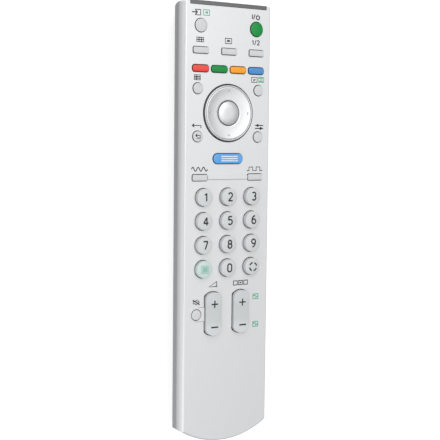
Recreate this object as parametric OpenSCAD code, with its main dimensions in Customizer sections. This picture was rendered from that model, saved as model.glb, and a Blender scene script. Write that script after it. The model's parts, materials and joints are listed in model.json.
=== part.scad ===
// Handheld remote control, lying on its back with the keys up.
// X runs across the face, Y along it towards the emitter end, Z up.
// The origin is under the middle of the case, on the plane that it rests on.

/* [Case] */
// Face left free on each side of the widest row of openings
side_margin = 3.85; // [3:0.05:8]
// Thickness of the face
face_wall = 2; // [1.6:0.1:3]
// Thickness of the top cover's side walls
side_wall = 2; // [1.6:0.1:2.6]
// Thickness of the bottom cover and the battery cover
belly_wall = 1.8; // [1.4:0.1:2.6]
// Depth of the seam between the two covers below the face
seam_depth = 6.5; // [6:0.5:9]
// Upright band of the bottom cover under that seam
side_band = 1; // [0.5:0.1:2]
// Radius that turns the side under
side_r = 12; // [9:0.5:15]
// Slope of the underside from upright, in degrees
taper_angle = 40; // [32:1:50]
// Radius between the slope and the flat back
belly_r = 8; // [6:0.5:10]
// Radius between the flat back and the two ends
end_r = 10; // [6:0.5:12]
// Rounding of the edge all round the face
edge_r = 1; // [0.6:0.1:1.6]
// Plan radius of the two corners at the emitter end
corner_r = 2.6; // [1.6:0.1:4]
// Plan radius of the bowed tail end
tail_r = 46; // [40:1:80]
// Blank face between the rockers and the tail end
tail_l = 55.15; // [50:0.05:75]
// Clearance between pieces that stay put
fit = 0.2; // [0.1:0.05:0.3]
// Height of the tongue that lines up the two covers
tongue_h = 1.4; // [0.8:0.1:2]
// Thickness of that tongue
tongue_t = 1; // [0.8:0.1:1.4]
// Height of the raised bar and the raised tab on the face
trim_rise = 0.5; // [0.3:0.05:0.7]
// Width of the raised bar between the tuner keys
trim_w = 1.8; // [1:0.1:2.6]

/* [Window] */
// Depth of the dark window strip on the face
window_d = 2.3; // [2.2:0.1:4]
// Cover left beside the window at each end
window_margin = 2.7; // [2.5:0.1:6]

/* [Rows] */
// Emitter end to the power key's opening
top_margin = 8.3; // [7:0.1:12]
// Power key to mode keys
mode_gap = 6.2; // [3:0.1:9]
// Mode keys to colour keys
colour_gap = 5; // [3:0.1:8]
// Web between two colour keys
colour_web = 0.9; // [0.8:0.05:2]
// Colour keys to navigation ring
nav_gap = 5; // [3:0.1:8]
// Web between the ring and the small keys round it
side_key_gap = 3.75; // [2.5:0.05:5]
// Direction of those small keys from the ring's centre, in degrees
side_key_angle = 33.6; // [30:0.1:40]
// Navigation ring to menu key
menu_gap = 5.3; // [3:0.1:8]
// Menu key to tuner keys
tuner_gap = 4.7; // [3:0.1:8]
// Tuner keys to number keys
number_gap = 3.2; // [2:0.1:6]
// Web between two rows of number keys
number_row_gap = 2.6; // [1.6:0.1:5]
// Web between two columns of number keys
number_col_gap = 4.75; // [2:0.05:5.5]
// Number keys to rockers
rocker_gap = 6.85; // [4:0.05:9]
// Web between the two rockers
rocker_web = 6.7; // [6.2:0.1:9]
// Web between the volume rocker and the mute key
mute_web = 1.75; // [1.2:0.05:2.5]

/* [Keys] */
// Gap between a key and its opening
key_clear = 0.35; // [0.3:0.05:0.5]
// How far a key can be pressed
key_travel = 0.9; // [0.6:0.1:1.2]
// Lap of a key's flange under the cover
flange_lap = 0.25; // [0.15:0.05:0.35]
// Thickness of a key's flange
flange_t = 0.8; // [0.6:0.1:1.2]
// Contact stem under a key
stem_d = 2.6; // [2:0.1:3]
// Chamfer round the top of a round key
key_bevel = 0.25; // [0.2:0.05:0.6]
// Power key diameter
power_key_d = 7.2; // [5:0.1:9]
// Input key diameter
input_key_d = 6.4; // [5:0.1:8]
// Height of the power and input keys above the face
power_key_rise = 0.7; // [0.6:0.1:2]
// Small round key diameter
small_key_d = 5.2; // [4.4:0.1:6]
// Height of a small round key
small_key_rise = 0.8; // [0.6:0.1:2]
// Crown of the small, power and input keys
round_crown = 0.2; // [0.1:0.05:0.6]
// Mode key width
mode_key_w = 8.4; // [6:0.1:10]
// Tuner key width
tuner_key_w = 8.4; // [6:0.1:10]
// Height along the face of the mode and tuner keys
mode_key_h = 3; // [2.8:0.1:5]
// Colour key width
colour_key_w = 9.2; // [7:0.1:11]
// Colour key height along the face
colour_key_h = 3.3; // [2.8:0.1:5]
// Corner radius of the mode and tuner keys
block_corner_r = 0.6; // [0.5:0.1:1.3]
// Corner radius of the colour keys
colour_corner_r = 1.3; // [0.6:0.1:1.4]
// Rise of the mode, tuner and colour keys
block_rise = 0.7; // [0.6:0.1:1.6]
// Crown across those keys and the menu key
block_crown = 0.2; // [0.1:0.05:0.5]
// Menu key width
menu_key_w = 17.2; // [12:0.1:22]
// Menu key height along the face
menu_key_h = 5; // [4:0.1:7]
// Rise of the menu key
menu_rise = 0.9; // [0.7:0.1:2]
// Number key diameter
number_key_d = 8.7; // [7:0.1:10]
// Height of a number key's centre above the face
number_rise = 2.8; // [2:0.1:3.6]
// Crown of a number key
number_crown = 0.5; // [0.3:0.1:1.2]
// Rocker width
rocker_w = 9; // [8:0.1:10]
// Rocker length
rocker_l = 22; // [18:0.5:28]
// Radius of a rocker's bowed ends
rocker_end_r = 6.2; // [5.6:0.1:9]
// Radius of a rocker's corners
rocker_corner_r = 0.9; // [0.5:0.1:1.4]
// Height of a rocker's ends above the face
rocker_rise = 2.7; // [2:0.1:3.5]
// Dip in the middle of a rocker
rocker_dip = 0.8; // [0.4:0.1:1]
// Rocking angle to each side, in degrees
rocker_tilt = 3.5; // [2:0.5:4]

/* [Navigation ring] */
// Outer diameter of the ring
nav_ring_d = 28.5; // [26:0.1:30]
// Bore of the ring
nav_bore_d = 12.7; // [11:0.1:14]
// Width of the bevel round the ring
nav_bevel = 0.8; // [0.4:0.1:1.4]
// Rise of the ring's crest above the face
nav_rise = 1; // [0.8:0.1:1.6]
// Rise of the ring's outer edge above the face
nav_edge_rise = 0.3; // [0.1:0.05:0.6]
// Fall of the dished top from the crest to the bore
nav_dish = 0.6; // [0.3:0.05:0.7]
// Tilting angle to each side, in degrees
nav_tilt = 2.5; // [1.5:0.5:3]
// Gap round the key in the middle of the ring
ok_clear = 0.45; // [0.4:0.05:0.7]
// Rise of that key's centre above the face
ok_rise = 1.4; // [1:0.1:2.2]
// Crown of that key
ok_crown = 0.7; // [0.4:0.1:1]

/* [Board and pad] */
// Circuit board thickness
board_t = 1.2; // [1:0.1:1.6]
// Silicone pad thickness
pad_t = 1; // [0.8:0.1:1.4]
// Gap between the board's edge and the tongue
board_gap = 0.3; // [0.2:0.1:1]
// Board left beyond the rockers
board_tail = 3; // [2:0.5:8]
// Emitter end to the board's edge
board_top = 6.5; // [5.5:0.5:6.5]
// Diameter of the board posts
post_d = 4; // [3:0.5:5]
// Diameter of the pins on the board posts
pin_d = 1.8; // [1.2:0.1:2.2]
// Emitter diode diameter
led_d = 5; // [4:0.1:5]

/* [Batteries] */
// Diameter of a cell
cell_d = 14.5; // [13.5:0.1:15]
// Length of a cell, with its positive button
cell_l = 50.5; // [48:0.5:54]
// Gap between the two cells
cell_gap = 0.7; // [0.4:0.1:1.5]
// Clearance round the cells
cell_clear = 0.3; // [0.2:0.05:0.5]
// Thickness of the deck over the cells
deck_t = 1; // [0.8:0.1:1.4]
// Thickness of the bay's walls
bay_wall = 1.2; // [1:0.1:1.6]
// Tail end to the bay
bay_end = 8; // [7:0.5:10]
// Length of a contact spring
spring_l = 5; // [4:0.5:7]
// Wire of a contact spring
wire_d = 0.7; // [0.5:0.1:0.8]
// Turns of a contact spring
spring_turns = 3; // [2:1:3]
// Thickness of the contact plates
plate_t = 0.4; // [0.3:0.1:0.6]

/* [Battery cover] */
// Height of the battery cover's side edges
door_h = 10; // [9.5:0.1:11]
// Gap round the battery cover
door_gap = 0.3; // [0.2:0.05:0.4]
// Height of the rails that hold the battery cover
rail_z = 7.5; // [7:0.1:8]
// Thickness of the rails and of the ribs that hook over them
rail_t = 1; // [0.8:0.1:1.2]
// Width of the tongue on the battery cover's front edge
door_tongue_w = 5; // [3:0.5:5]
// Reach of that tongue
door_tongue_l = 2.5; // [1.5:0.5:4]
// Thumb grooves on the battery cover
groove_count = 6; // [4:1:8]
// Pitch of the thumb grooves
groove_pitch = 1.8; // [1.6:0.1:2.5]
// Depth of the thumb grooves
groove_deep = 0.5; // [0.3:0.1:0.8]

/* [Screws] */
// Diameter of the two case screws
screw_d = 2.2; // [1.8:0.1:2.6]
// Head diameter of the case screws
screw_head_d = 4.2; // [3.6:0.1:4.6]
// Head height of the case screws
screw_head_h = 1.5; // [1.2:0.1:1.8]
// Outer diameter of the screw bosses
boss_d = 4.4; // [4:0.1:4.6]

/* [Hidden] */
$fn = 64;

// Openings
power_open = power_key_d + 2 * key_clear;
small_open = small_key_d + 2 * key_clear;
number_open = number_key_d + 2 * key_clear;
mode_open_h = mode_key_h + 2 * key_clear;
tuner_open_w = tuner_key_w + 2 * key_clear;
colour_open_w = colour_key_w + 2 * key_clear;
colour_open_h = colour_key_h + 2 * key_clear;
menu_open_h = menu_key_h + 2 * key_clear;
rocker_open_w = rocker_w + 2 * key_clear;
rocker_open_l = rocker_l + 2 * key_clear;
nav_open = nav_ring_d + 2 * key_clear;
flange_out = key_clear + flange_lap;

// Columns, from the middle of the face
colour_pitch = colour_open_w + colour_web;
outer_x = 1.5 * colour_pitch;
number_pitch_x = number_open + number_col_gap;
number_pitch_y = number_open + number_row_gap;
rocker_x = (rocker_web + rocker_open_w) / 2;
mute_x = -(rocker_x + rocker_open_w / 2 + mute_web + small_open / 2);
side_key_reach = nav_open / 2 + side_key_gap + small_open / 2;
side_key_x = side_key_reach * cos(side_key_angle);
side_key_y = side_key_reach * sin(side_key_angle);
half_row = max(
    outer_x + colour_open_w / 2,
    outer_x + tuner_open_w / 2,
    outer_x + power_open / 2,
    side_key_x + small_open / 2,
    number_pitch_x + number_open / 2,
    small_open / 2 - mute_x
);
half_w = half_row + side_margin;
body_w = 2 * half_w;

// Rows, from the emitter end down
power_drop = top_margin + power_open / 2;
mode_drop = power_drop + power_open / 2 + mode_gap + mode_open_h / 2;
colour_drop = mode_drop + mode_open_h / 2 + colour_gap + colour_open_h / 2;
nav_drop = colour_drop + colour_open_h / 2 + nav_gap + nav_open / 2;
menu_drop = nav_drop + nav_open / 2 + menu_gap + menu_open_h / 2;
tuner_drop = menu_drop + menu_open_h / 2 + tuner_gap + mode_open_h / 2;
number_drop = tuner_drop + mode_open_h / 2 + number_gap + number_open / 2;
last_drop = number_drop + 3 * number_pitch_y;
rocker_drop = last_drop + number_open / 2 + rocker_gap + rocker_open_l / 2;
body_l = rocker_drop + rocker_open_l / 2 + tail_l;
top_y = body_l / 2;
tail_y = -body_l / 2;
power_y = top_y - power_drop;
mode_y = top_y - mode_drop;
colour_y = top_y - colour_drop;
nav_y = top_y - nav_drop;
menu_y = top_y - menu_drop;
tuner_y = top_y - tuner_drop;
number_y = top_y - number_drop;
rocker_y = top_y - rocker_drop;

// Heights, from the back up
rest_gap = 0.1;
cell_z = belly_wall + cell_clear + cell_d / 2;
deck_z0 = cell_z + cell_d / 2 + cell_clear;
deck_z1 = deck_z0 + deck_t;
board_z1 = deck_z1 + board_t;
pad_z1 = board_z1 + pad_t;
flange_z0 = pad_z1 + rest_gap + key_travel;
flange_z1 = flange_z0 + flange_t;
cover_z = flange_z1 + rest_gap;
face_z = cover_z + face_wall;
seam_z = face_z - seam_depth;
stem_gap = 0.15;
stem_z0 = board_z1 + key_travel + stem_gap;
stem_room = 0.4;

// Cross-section of the case: side arc, slope, belly arc, flat back
slope_n = [cos(taper_angle), -sin(taper_angle)];
side_z = seam_z - side_band;
side_c = [half_w - side_r, side_z];
slope_p = side_c + side_r * slope_n;
belly_run = (belly_r - (slope_p.y - belly_r) * slope_n.y) / slope_n.x;
belly_c = [slope_p.x - belly_run, belly_r];

// Tongue between the covers
tongue_out = side_wall + fit;
tongue_in = tongue_out + tongue_t;
tongue_root = 2;
tongue_bite = 1;
tongue_stop = top_y - corner_r - side_wall;

// Board and pad
board_half_w = half_w - tongue_in - board_gap;
board_y0 = rocker_y - rocker_open_l / 2 - board_tail;
board_y1 = top_y - board_top;
led_notch_w = led_d + 3;
led_notch_l = 8;
lead_run = 4;
pin_clear = 0.2;
post_x = board_half_w - post_d / 2;
post_ys = [power_y - power_open, number_y];

// Parts under the board, from the middle of the ring
chip_w = 7.5;
chip_l = 12.8;
chip_h = 2.2;
resonator_drop = 14;
capacitor_x = 12;
capacitor_drop = 8;

// Battery bay
cell_x = (cell_d + cell_gap) / 2;
bay_half = cell_x + cell_d / 2 + cell_clear;
bay_l = cell_l + spring_l + 2 * plate_t + 2 * fit;
bay_y0 = tail_y + bay_end;
bay_y1 = bay_y0 + bay_l;
plate_w = 9;
plate_low = 4.5;
tab_w = 2.5;
spring_r0 = 4.2;
spring_r1 = 2.8;

// Battery cover
door_y = bay_y1 + 2 * bay_wall + fit;
door_tongue_z0 = belly_wall + fit;
door_tongue_t = 1;
bay_wall_low = door_tongue_z0 + door_tongue_t + door_gap;
groove_w = 14;
groove_cut = 0.9;
groove_y = door_y - 4;

// Screws, hidden between the cells under the deck
screw_ys = [board_y0 - boss_d, bay_y0 + 2 * boss_d];
screw_roof = 1.4;
pilot_roof = 1.2;
pilot_slack = 0.2;
screw_slack = 0.5;
screw_len = face_z - deck_z0 - screw_roof;
pilot_d = screw_d + pilot_slack;
screw_hole_d = screw_d + screw_slack;

// Rockers and ring: flanges set low enough to tilt under the cover
tilt_room = 0.15;
tilt_flange_t = 0.6;
rocker_drop_z = (rocker_l / 2 + flange_out) * sin(rocker_tilt) + tilt_room;
rocker_flange_z1 = cover_z - rocker_drop_z;
rocker_flange_z0 = rocker_flange_z1 - tilt_flange_t;
rocker_stem_y = rocker_l / 2 - stem_d - 1.5;
rocker_stem_z0 = board_z1 + (rocker_stem_y + stem_d / 2) * sin(rocker_tilt) + tilt_room;
nav_r = nav_ring_d / 2;
nav_lean = nav_tilt * sqrt(2);
nav_flange_r = nav_r + flange_out;
nav_flange_z1 = cover_z - nav_flange_r * sin(nav_lean) - tilt_room;
nav_flange_z0 = nav_flange_z1 - tilt_flange_t;
nav_rim_w = 3.2;
nav_rim_t = 0.55;
nav_step_r = nav_r - nav_rim_w;
nav_under_z = nav_flange_z0 + nav_rim_t;
nav_foot_r = nav_r - stem_d / 2;
nav_foot_z0 = board_z1 + nav_r * sin(nav_lean) + tilt_room;
cushion_wall = 1.9;
cushion_out = 1.6;
cushion_r1 = nav_step_r - cushion_out;
cushion_r0 = cushion_r1 - cushion_wall;
cushion_tilt_z = cushion_r1 * sin(nav_tilt);
cushion_z0 = board_z1 + cushion_tilt_z + tilt_room;
cushion_z1 = nav_under_z - cushion_tilt_z - tilt_room;
tilt_pad_room = 0.5;

// Round keys: name, diameter, place, rise, crown, colour
key_grey = "#d9dcdb";
number_grey = "#dde0e2";
ROUND_KEYS = [
    ["input_key", input_key_d, [-outer_x, power_y], power_key_rise, round_crown, key_grey],
    ["power_key", power_key_d, [outer_x, power_y], power_key_rise, round_crown, "#1e9646"],
    ["guide_key", small_key_d, [-side_key_x, nav_y + side_key_y], small_key_rise, round_crown, key_grey],
    ["info_key", small_key_d, [side_key_x, nav_y + side_key_y], small_key_rise, round_crown, key_grey],
    ["return_key", small_key_d, [-side_key_x, nav_y - side_key_y], small_key_rise, round_crown, key_grey],
    ["tools_key", small_key_d, [side_key_x, nav_y - side_key_y], small_key_rise, round_crown, key_grey],
    ["mute_key", small_key_d, [mute_x, rocker_y], small_key_rise, round_crown, key_grey]
];
NUMBER_NAMES = [
    "key_1", "key_2", "key_3", "key_4", "key_5", "key_6",
    "key_7", "key_8", "key_9", "teletext_key", "key_0", "recall_key"
];
function number_place(i) = [
    (i % 3 - 1) * number_pitch_x,
    number_y - floor(i / 3) * number_pitch_y
];

// Straight-sided keys: name, width and height, corner radius, place, rise, colour
mode_size = [mode_key_w, mode_key_h];
tuner_size = [tuner_key_w, mode_key_h];
colour_size = [colour_key_w, colour_key_h];
menu_size = [menu_key_w, menu_key_h];
BLOCK_KEYS = [
    ["mode_key_left", mode_size, block_corner_r, [-outer_x, mode_y], block_rise, key_grey],
    ["mode_key_middle", mode_size, block_corner_r, [0, mode_y], block_rise, key_grey],
    ["mode_key_right", mode_size, block_corner_r, [outer_x, mode_y], block_rise, key_grey],
    ["red_key", colour_size, colour_corner_r, [-outer_x, colour_y], block_rise, "#f05041"],
    ["green_key", colour_size, colour_corner_r, [-colour_pitch / 2, colour_y], block_rise, "#1e9646"],
    ["yellow_key", colour_size, colour_corner_r, [colour_pitch / 2, colour_y], block_rise, "#faaa28"],
    ["blue_key", colour_size, colour_corner_r, [outer_x, colour_y], block_rise, "#4b91dc"],
    ["menu_key", menu_size, menu_key_h / 2, [0, menu_y], menu_rise, "#5aa0e1"],
    ["analog_key", tuner_size, block_corner_r, [-outer_x, tuner_y], block_rise, key_grey],
    ["digital_key", tuner_size, block_corner_r, [outer_x, tuner_y], block_rise, key_grey]
];
ROCKERS = [
    ["volume_rocker", [-rocker_x, rocker_y]],
    ["program_rocker", [rocker_x, rocker_y]]
];

// Rounded rectangle, slot or circle, grown outwards by grow
module outline(size, r, grow = 0) {
    w = size.x + 2 * grow;
    h = size.y + 2 * grow;
    c = r + grow;
    dx = max(w / 2 - c, 0);
    dy = max(h / 2 - c, 0);
    for (x = dx > 0.001 ? [-dx, dx] : [0], y = dy > 0.001 ? [-dy, dy] : [0])
        translate([x, y]) circle(c);
    if (dx > 0.001)
        square([2 * dx, h], center = true);
    if (dy > 0.001)
        square([w, 2 * dy], center = true);
}

// Rocker outline with bowed ends and small corners, grown outwards by grow
module rocker_outline(grow = 0) {
    end_y = rocker_l / 2 - rocker_end_r;
    corner_x = rocker_w / 2 - rocker_corner_r;
    corner_reach = rocker_end_r - rocker_corner_r;
    corner_y = end_y + sqrt(corner_reach * corner_reach - corner_x * corner_x);
    end_x = corner_x * (rocker_end_r + grow) / corner_reach;
    square([rocker_w + 2 * grow, 2 * corner_y], center = true);
    for (s = [-1, 1]) {
        intersection() {
            translate([0, s * end_y]) circle(rocker_end_r + grow);
            square([2 * end_x, rocker_l + 2 * grow], center = true);
        }
        for (x = [-corner_x, corner_x])
            translate([x, s * corner_y]) circle(rocker_corner_r + grow);
    }
}

// Shape in X and Z drawn out along Y, and shape in Y and Z drawn out along X
module along_y(length) {
    rotate([90, 0, 0]) linear_extrude(length, center = true) children();
}
module along_x(length) {
    rotate([90, 0, 90]) linear_extrude(length, center = true) children();
}

// Plan of the case, set in by d
module plan(d) {
    intersection() {
        translate([-(half_w - d), tail_y])
            square([2 * (half_w - d), body_l - d]);
        union() {
            translate([0, tail_y + tail_r]) circle(tail_r - d, $fn = 180);
            translate([-body_w, tail_y + tail_r]) square([2 * body_w, body_l]);
        }
    }
}

// Plan that rounds the two corners at the emitter end
module corner_plan() {
    translate([-half_w, tail_y]) square([body_w, body_l - corner_r]);
    translate([-(half_w - corner_r), tail_y]) square([body_w - 2 * corner_r, body_l]);
    for (x = [-1, 1])
        translate([x * (half_w - corner_r), top_y - corner_r]) circle(corner_r);
}

// Upper half of the case as a solid: upright sides and a rounded edge
module upper_body() {
    rim_z = face_z - edge_r;
    intersection() {
        along_y(2 * body_l) {
            translate([-half_w, seam_z]) square([body_w, seam_depth - edge_r]);
            translate([edge_r - half_w, seam_z]) square([body_w - 2 * edge_r, seam_depth]);
            for (x = [-1, 1])
                translate([x * (half_w - edge_r), rim_z]) circle(edge_r);
        }
        along_x(2 * body_w) {
            translate([-body_l, seam_z]) square([body_l + top_y, seam_depth - edge_r]);
            translate([-body_l, seam_z]) square([body_l + top_y - edge_r, seam_depth]);
            translate([top_y - edge_r, rim_z]) circle(edge_r);
        }
        union() {
            translate([0, tail_y + tail_r]) rotate_extrude($fn = 180) {
                translate([0, seam_z]) square([tail_r, seam_depth - edge_r]);
                translate([0, seam_z]) square([tail_r - edge_r, seam_depth]);
                translate([tail_r - edge_r, rim_z]) circle(edge_r);
            }
            translate([-body_w, tail_y + tail_r, seam_z]) cube([2 * body_w, body_l, seam_depth]);
        }
        translate([0, 0, seam_z - 1]) linear_extrude(seam_depth + 2) corner_plan();
    }
}

// Half of the lower cross-section, set in by d
module belly_half(d) {
    belly_p = belly_c + (belly_r - d) * slope_n;
    side_p = side_c + (side_r - d) * slope_n;
    polygon([
        [0, d],
        [belly_c.x, d],
        belly_p,
        side_p,
        [half_w - d, side_z],
        [half_w - d, seam_z],
        [0, seam_z]
    ]);
    translate(belly_c) circle(belly_r - d);
    intersection() {
        translate(side_c) circle(side_r - d);
        square([body_w, side_z]);
    }
}

// Lower half of the case as a solid, set in by d
module lower_body(d) {
    intersection() {
        along_y(2 * body_l) {
            belly_half(d);
            mirror([1, 0]) belly_half(d);
        }
        along_x(2 * body_w) {
            translate([-body_l, d]) square([body_l + top_y - end_r, seam_z - d]);
            translate([-body_l, end_r]) square([body_l + top_y - d, seam_z - end_r]);
            translate([top_y - end_r, end_r]) circle(end_r - d);
        }
        union() {
            translate([0, tail_y + tail_r]) rotate_extrude($fn = 180) {
                translate([0, d]) square([tail_r - end_r, seam_z - d]);
                translate([0, end_r]) square([tail_r - d, seam_z - end_r]);
                translate([tail_r - end_r, end_r]) circle(end_r - d);
            }
            translate([-body_w, tail_y + tail_r, d]) cube([2 * body_w, body_l, seam_z - d]);
        }
        translate([0, 0, -1]) linear_extrude(seam_z + 2) corner_plan();
    }
}

// Places every key outline on the face, grown outwards by grow
module key_outlines(grow) {
    for (k = ROUND_KEYS)
        translate(k[2]) circle(k[1] / 2 + grow);
    for (i = [0 : len(NUMBER_NAMES) - 1])
        translate(number_place(i)) circle(number_key_d / 2 + grow);
    for (k = BLOCK_KEYS)
        translate(k[3]) outline(k[1], k[2], grow);
}
module tilting_outlines(grow) {
    for (k = ROCKERS)
        translate(k[1]) rocker_outline(grow);
    translate([0, nav_y]) circle(nav_r + grow);
}

// Raised bar between the tuner keys and raised tab between mute key and rocker
module face_trim() {
    tab_r = small_open / 2 + trim_rise;
    square_l = -mute_x - rocker_x;
    translate([0, 0, face_z - trim_rise]) linear_extrude(2 * trim_rise) {
        translate([0, tuner_y]) square([2 * outer_x, trim_w], center = true);
        translate([mute_x, rocker_y]) circle(tab_r);
        translate([mute_x, rocker_y - tab_r]) square([square_l, 2 * tab_r]);
    }
}

module window_slot(clear) {
    low = seam_z + clear;
    translate([-(half_w - window_margin) + clear, top_y - window_d + clear, low])
        cube([body_w - 2 * window_margin - 2 * clear, window_d, seam_depth]);
}

module top_cover() {
    color("#e6e7e8") difference() {
        union() {
            difference() {
                union() {
                    upper_body();
                    face_trim();
                }
                translate([0, 0, seam_z - 1]) linear_extrude(cover_z - seam_z + 1) plan(side_wall);
                window_slot(0);
            }
            for (y = screw_ys)
                translate([0, y, deck_z1]) cylinder(d = boss_d, h = cover_z - deck_z1 + face_wall / 2);
        }
        translate([0, 0, cover_z - 1]) linear_extrude(face_wall + trim_rise + 2) {
            key_outlines(key_clear);
            tilting_outlines(key_clear);
        }
        for (y = screw_ys)
            translate([0, y, deck_z1 - 1]) cylinder(d = pilot_d, h = face_z - pilot_roof - deck_z1 + 1);
    }
}

module ir_window() {
    color("#5c5e62") intersection() {
        upper_body();
        window_slot(rest_gap);
    }
}

// Space that the battery cover takes out of the bottom cover, less a gap
module door_zone(gap) {
    translate([-body_w, tail_y - 1, -1])
        cube([2 * body_w, door_y - tail_y + 1 - gap, door_h + 1 - gap]);
}

// Deck over the cells, with the bay's four walls hanging from it
module battery_bay() {
    low = bay_wall_low;
    wall_h = deck_z1 - low;
    deck_l = bay_l + 2 * bay_wall;
    translate([0, 0, deck_z0]) linear_extrude(deck_t) intersection() {
        plan(tongue_out);
        translate([-body_w, bay_y0 - bay_wall]) square([2 * body_w, deck_l]);
    }
    intersection() {
        lower_body(belly_wall + door_gap);
        union() {
            for (x = [-bay_half - bay_wall, bay_half])
                translate([x, bay_y0 - bay_wall, low]) cube([bay_wall, deck_l, wall_h]);
            for (y = [bay_y0 - bay_wall, bay_y1])
                translate([-bay_half - bay_wall, y, low]) cube([2 * (bay_half + bay_wall), bay_wall, wall_h]);
            for (x = [-bay_half - 2 * bay_wall, bay_half])
                translate([x, bay_y0 - bay_wall, rail_z - rail_t]) cube([2 * bay_wall, deck_l, rail_t]);
        }
    }
}

// Slots for the solder tabs of the two contacts at the head of the bay
module tab_slots(z0, h) {
    for (x = [-cell_x, cell_x])
        translate([x - tab_w / 2 - fit, bay_y1 - plate_t - fit, z0])
            cube([tab_w + 2 * fit, plate_t + 2 * fit, h]);
}

module board_posts() {
    for (x = [-post_x, post_x], y = post_ys) {
        intersection() {
            lower_body(belly_wall / 2);
            translate([x, y, 0]) cylinder(d = post_d, h = seam_z);
        }
        translate([x, y, seam_z - 1]) cylinder(d = post_d, h = deck_z1 - seam_z + 1);
        translate([x, y, deck_z1 - 1]) cylinder(d = pin_d, h = board_t + 1);
    }
}

module rim_tongue() {
    intersection() {
        translate([-body_w, tail_y, 0]) cube([2 * body_w, tongue_stop - tail_y, face_z]);
        union() {
            translate([0, 0, seam_z - tongue_root]) linear_extrude(tongue_root) difference() {
                plan(tongue_bite);
                plan(tongue_in);
            }
            translate([0, 0, seam_z - 1]) linear_extrude(tongue_h + 1) difference() {
                plan(tongue_out);
                plan(tongue_in);
            }
        }
    }
}

module bottom_cover() {
    color("#96989b") difference() {
        union() {
            difference() {
                lower_body(0);
                lower_body(belly_wall);
                translate([0, 0, seam_z - belly_wall]) linear_extrude(2 * belly_wall) plan(belly_wall);
                door_zone(0);
            }
            rim_tongue();
            battery_bay();
            board_posts();
        }
        for (y = screw_ys)
            translate([0, y, deck_z0 - 1]) cylinder(d = screw_hole_d, h = deck_t + 2);
        tab_slots(deck_z0 - 1, deck_t + 2);
    }
}

module battery_cover() {
    rib_x = bay_half + bay_wall + door_gap;
    rib_z = rail_z + door_gap;
    rib_l = bay_l + bay_wall;
    color("#8e9093") difference() {
        union() {
            intersection() {
                difference() {
                    lower_body(0);
                    lower_body(belly_wall);
                }
                door_zone(door_gap);
            }
            intersection() {
                lower_body(belly_wall / 2);
                for (x = [-half_w, rib_x])
                    translate([x, bay_y0, rib_z]) cube([half_w - rib_x, rib_l, rail_t]);
            }
            translate([-door_tongue_w / 2, door_y - 2 * door_tongue_l, belly_wall / 2])
                cube([door_tongue_w, 2 * door_tongue_l - door_gap, door_tongue_z0 - belly_wall / 2 + door_tongue_t]);
            translate([-door_tongue_w / 2, door_y - door_tongue_l, door_tongue_z0])
                cube([door_tongue_w, 2 * door_tongue_l, door_tongue_t]);
        }
        for (i = [0 : groove_count - 1])
            translate([-groove_w / 2, groove_y - i * groove_pitch - groove_cut, -1])
                cube([groove_w, groove_cut, groove_deep + 1]);
    }
}

module case_screws() {
    cross_w = screw_head_d / 8;
    color("#8a8c90") for (y = screw_ys) translate([0, y, deck_z0]) difference() {
        union() {
            translate([0, 0, -screw_head_h]) cylinder(d1 = screw_head_d * 0.8, d2 = screw_head_d, h = screw_head_h);
            cylinder(d = screw_d, h = screw_len);
        }
        for (a = [0, 90])
            rotate(a) translate([0, 0, -screw_head_h]) cube([screw_head_d * 0.6, cross_w, screw_head_h], center = true);
    }
}

// Plan of the board and the pad, with the notch that the diode stands in
module board_plan(notch_l) {
    size = [2 * board_half_w, board_y1 - board_y0];
    difference() {
        translate([0, (board_y0 + board_y1) / 2]) outline(size, corner_r);
        translate([-led_notch_w / 2, board_y1 - notch_l]) square([led_notch_w, notch_l + 1]);
    }
}

module circuit_board() {
    color("#c8a45a") difference() {
        translate([0, 0, deck_z1]) linear_extrude(board_t) difference() {
            board_plan(led_notch_l);
            for (x = [-post_x, post_x], y = post_ys)
                translate([x, y]) circle(d = pin_d + 2 * pin_clear);
        }
        tab_slots(deck_z1 - 1, board_t + 2);
    }
}

module rubber_keypad() {
    color("#d2d5d6") translate([0, 0, board_z1]) linear_extrude(pad_t) difference() {
        board_plan(led_notch_l + lead_run);
        for (k = ROUND_KEYS)
            translate(k[2]) circle(d = stem_d + 2 * stem_room);
        for (i = [0 : len(NUMBER_NAMES) - 1])
            translate(number_place(i)) circle(d = stem_d + 2 * stem_room);
        for (k = BLOCK_KEYS)
            translate(k[3]) circle(d = stem_d + 2 * stem_room);
        tilting_outlines(flange_out + tilt_pad_room);
    }
}

// Turned key: stem, flange, side, chamfer and domed top
module round_key(d, rise, crown) {
    r = d / 2;
    dome_r = (r * r + crown * crown) / (2 * crown);
    top_z = face_z + rise;
    rotate_extrude() intersection() {
        polygon([
            [0, stem_z0],
            [stem_d / 2, stem_z0],
            [stem_d / 2, flange_z0],
            [r + flange_out, flange_z0],
            [r + flange_out, flange_z1],
            [r, flange_z1],
            [r, top_z - crown - key_bevel],
            [r - key_bevel, top_z - crown],
            [r - key_bevel, top_z + crown],
            [0, top_z + crown]
        ]);
        translate([0, top_z - dome_r]) circle(dome_r, $fn = 180);
    }
}

// Straight-sided key with a top that is crowned across its short way
module block_key(size, r, rise, crown) {
    half_h = size.y / 2;
    crown_r = (half_h * half_h + crown * crown) / (2 * crown);
    top_z = face_z + rise;
    translate([0, 0, stem_z0]) cylinder(d = stem_d, h = flange_z1 - stem_z0);
    translate([0, 0, flange_z0]) linear_extrude(flange_t) outline(size, r, flange_out);
    intersection() {
        translate([0, 0, flange_z0]) linear_extrude(top_z - flange_z0) outline(size, r);
        union() {
            translate([0, 0, top_z - crown_r]) rotate([0, 90, 0])
                cylinder(r = crown_r, h = 2 * size.x, center = true, $fn = 120);
            translate([-size.x, -size.y, flange_z0 - 1])
                cube([2 * size.x, 2 * size.y, top_z - crown - flange_z0]);
        }
    }
}

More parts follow.
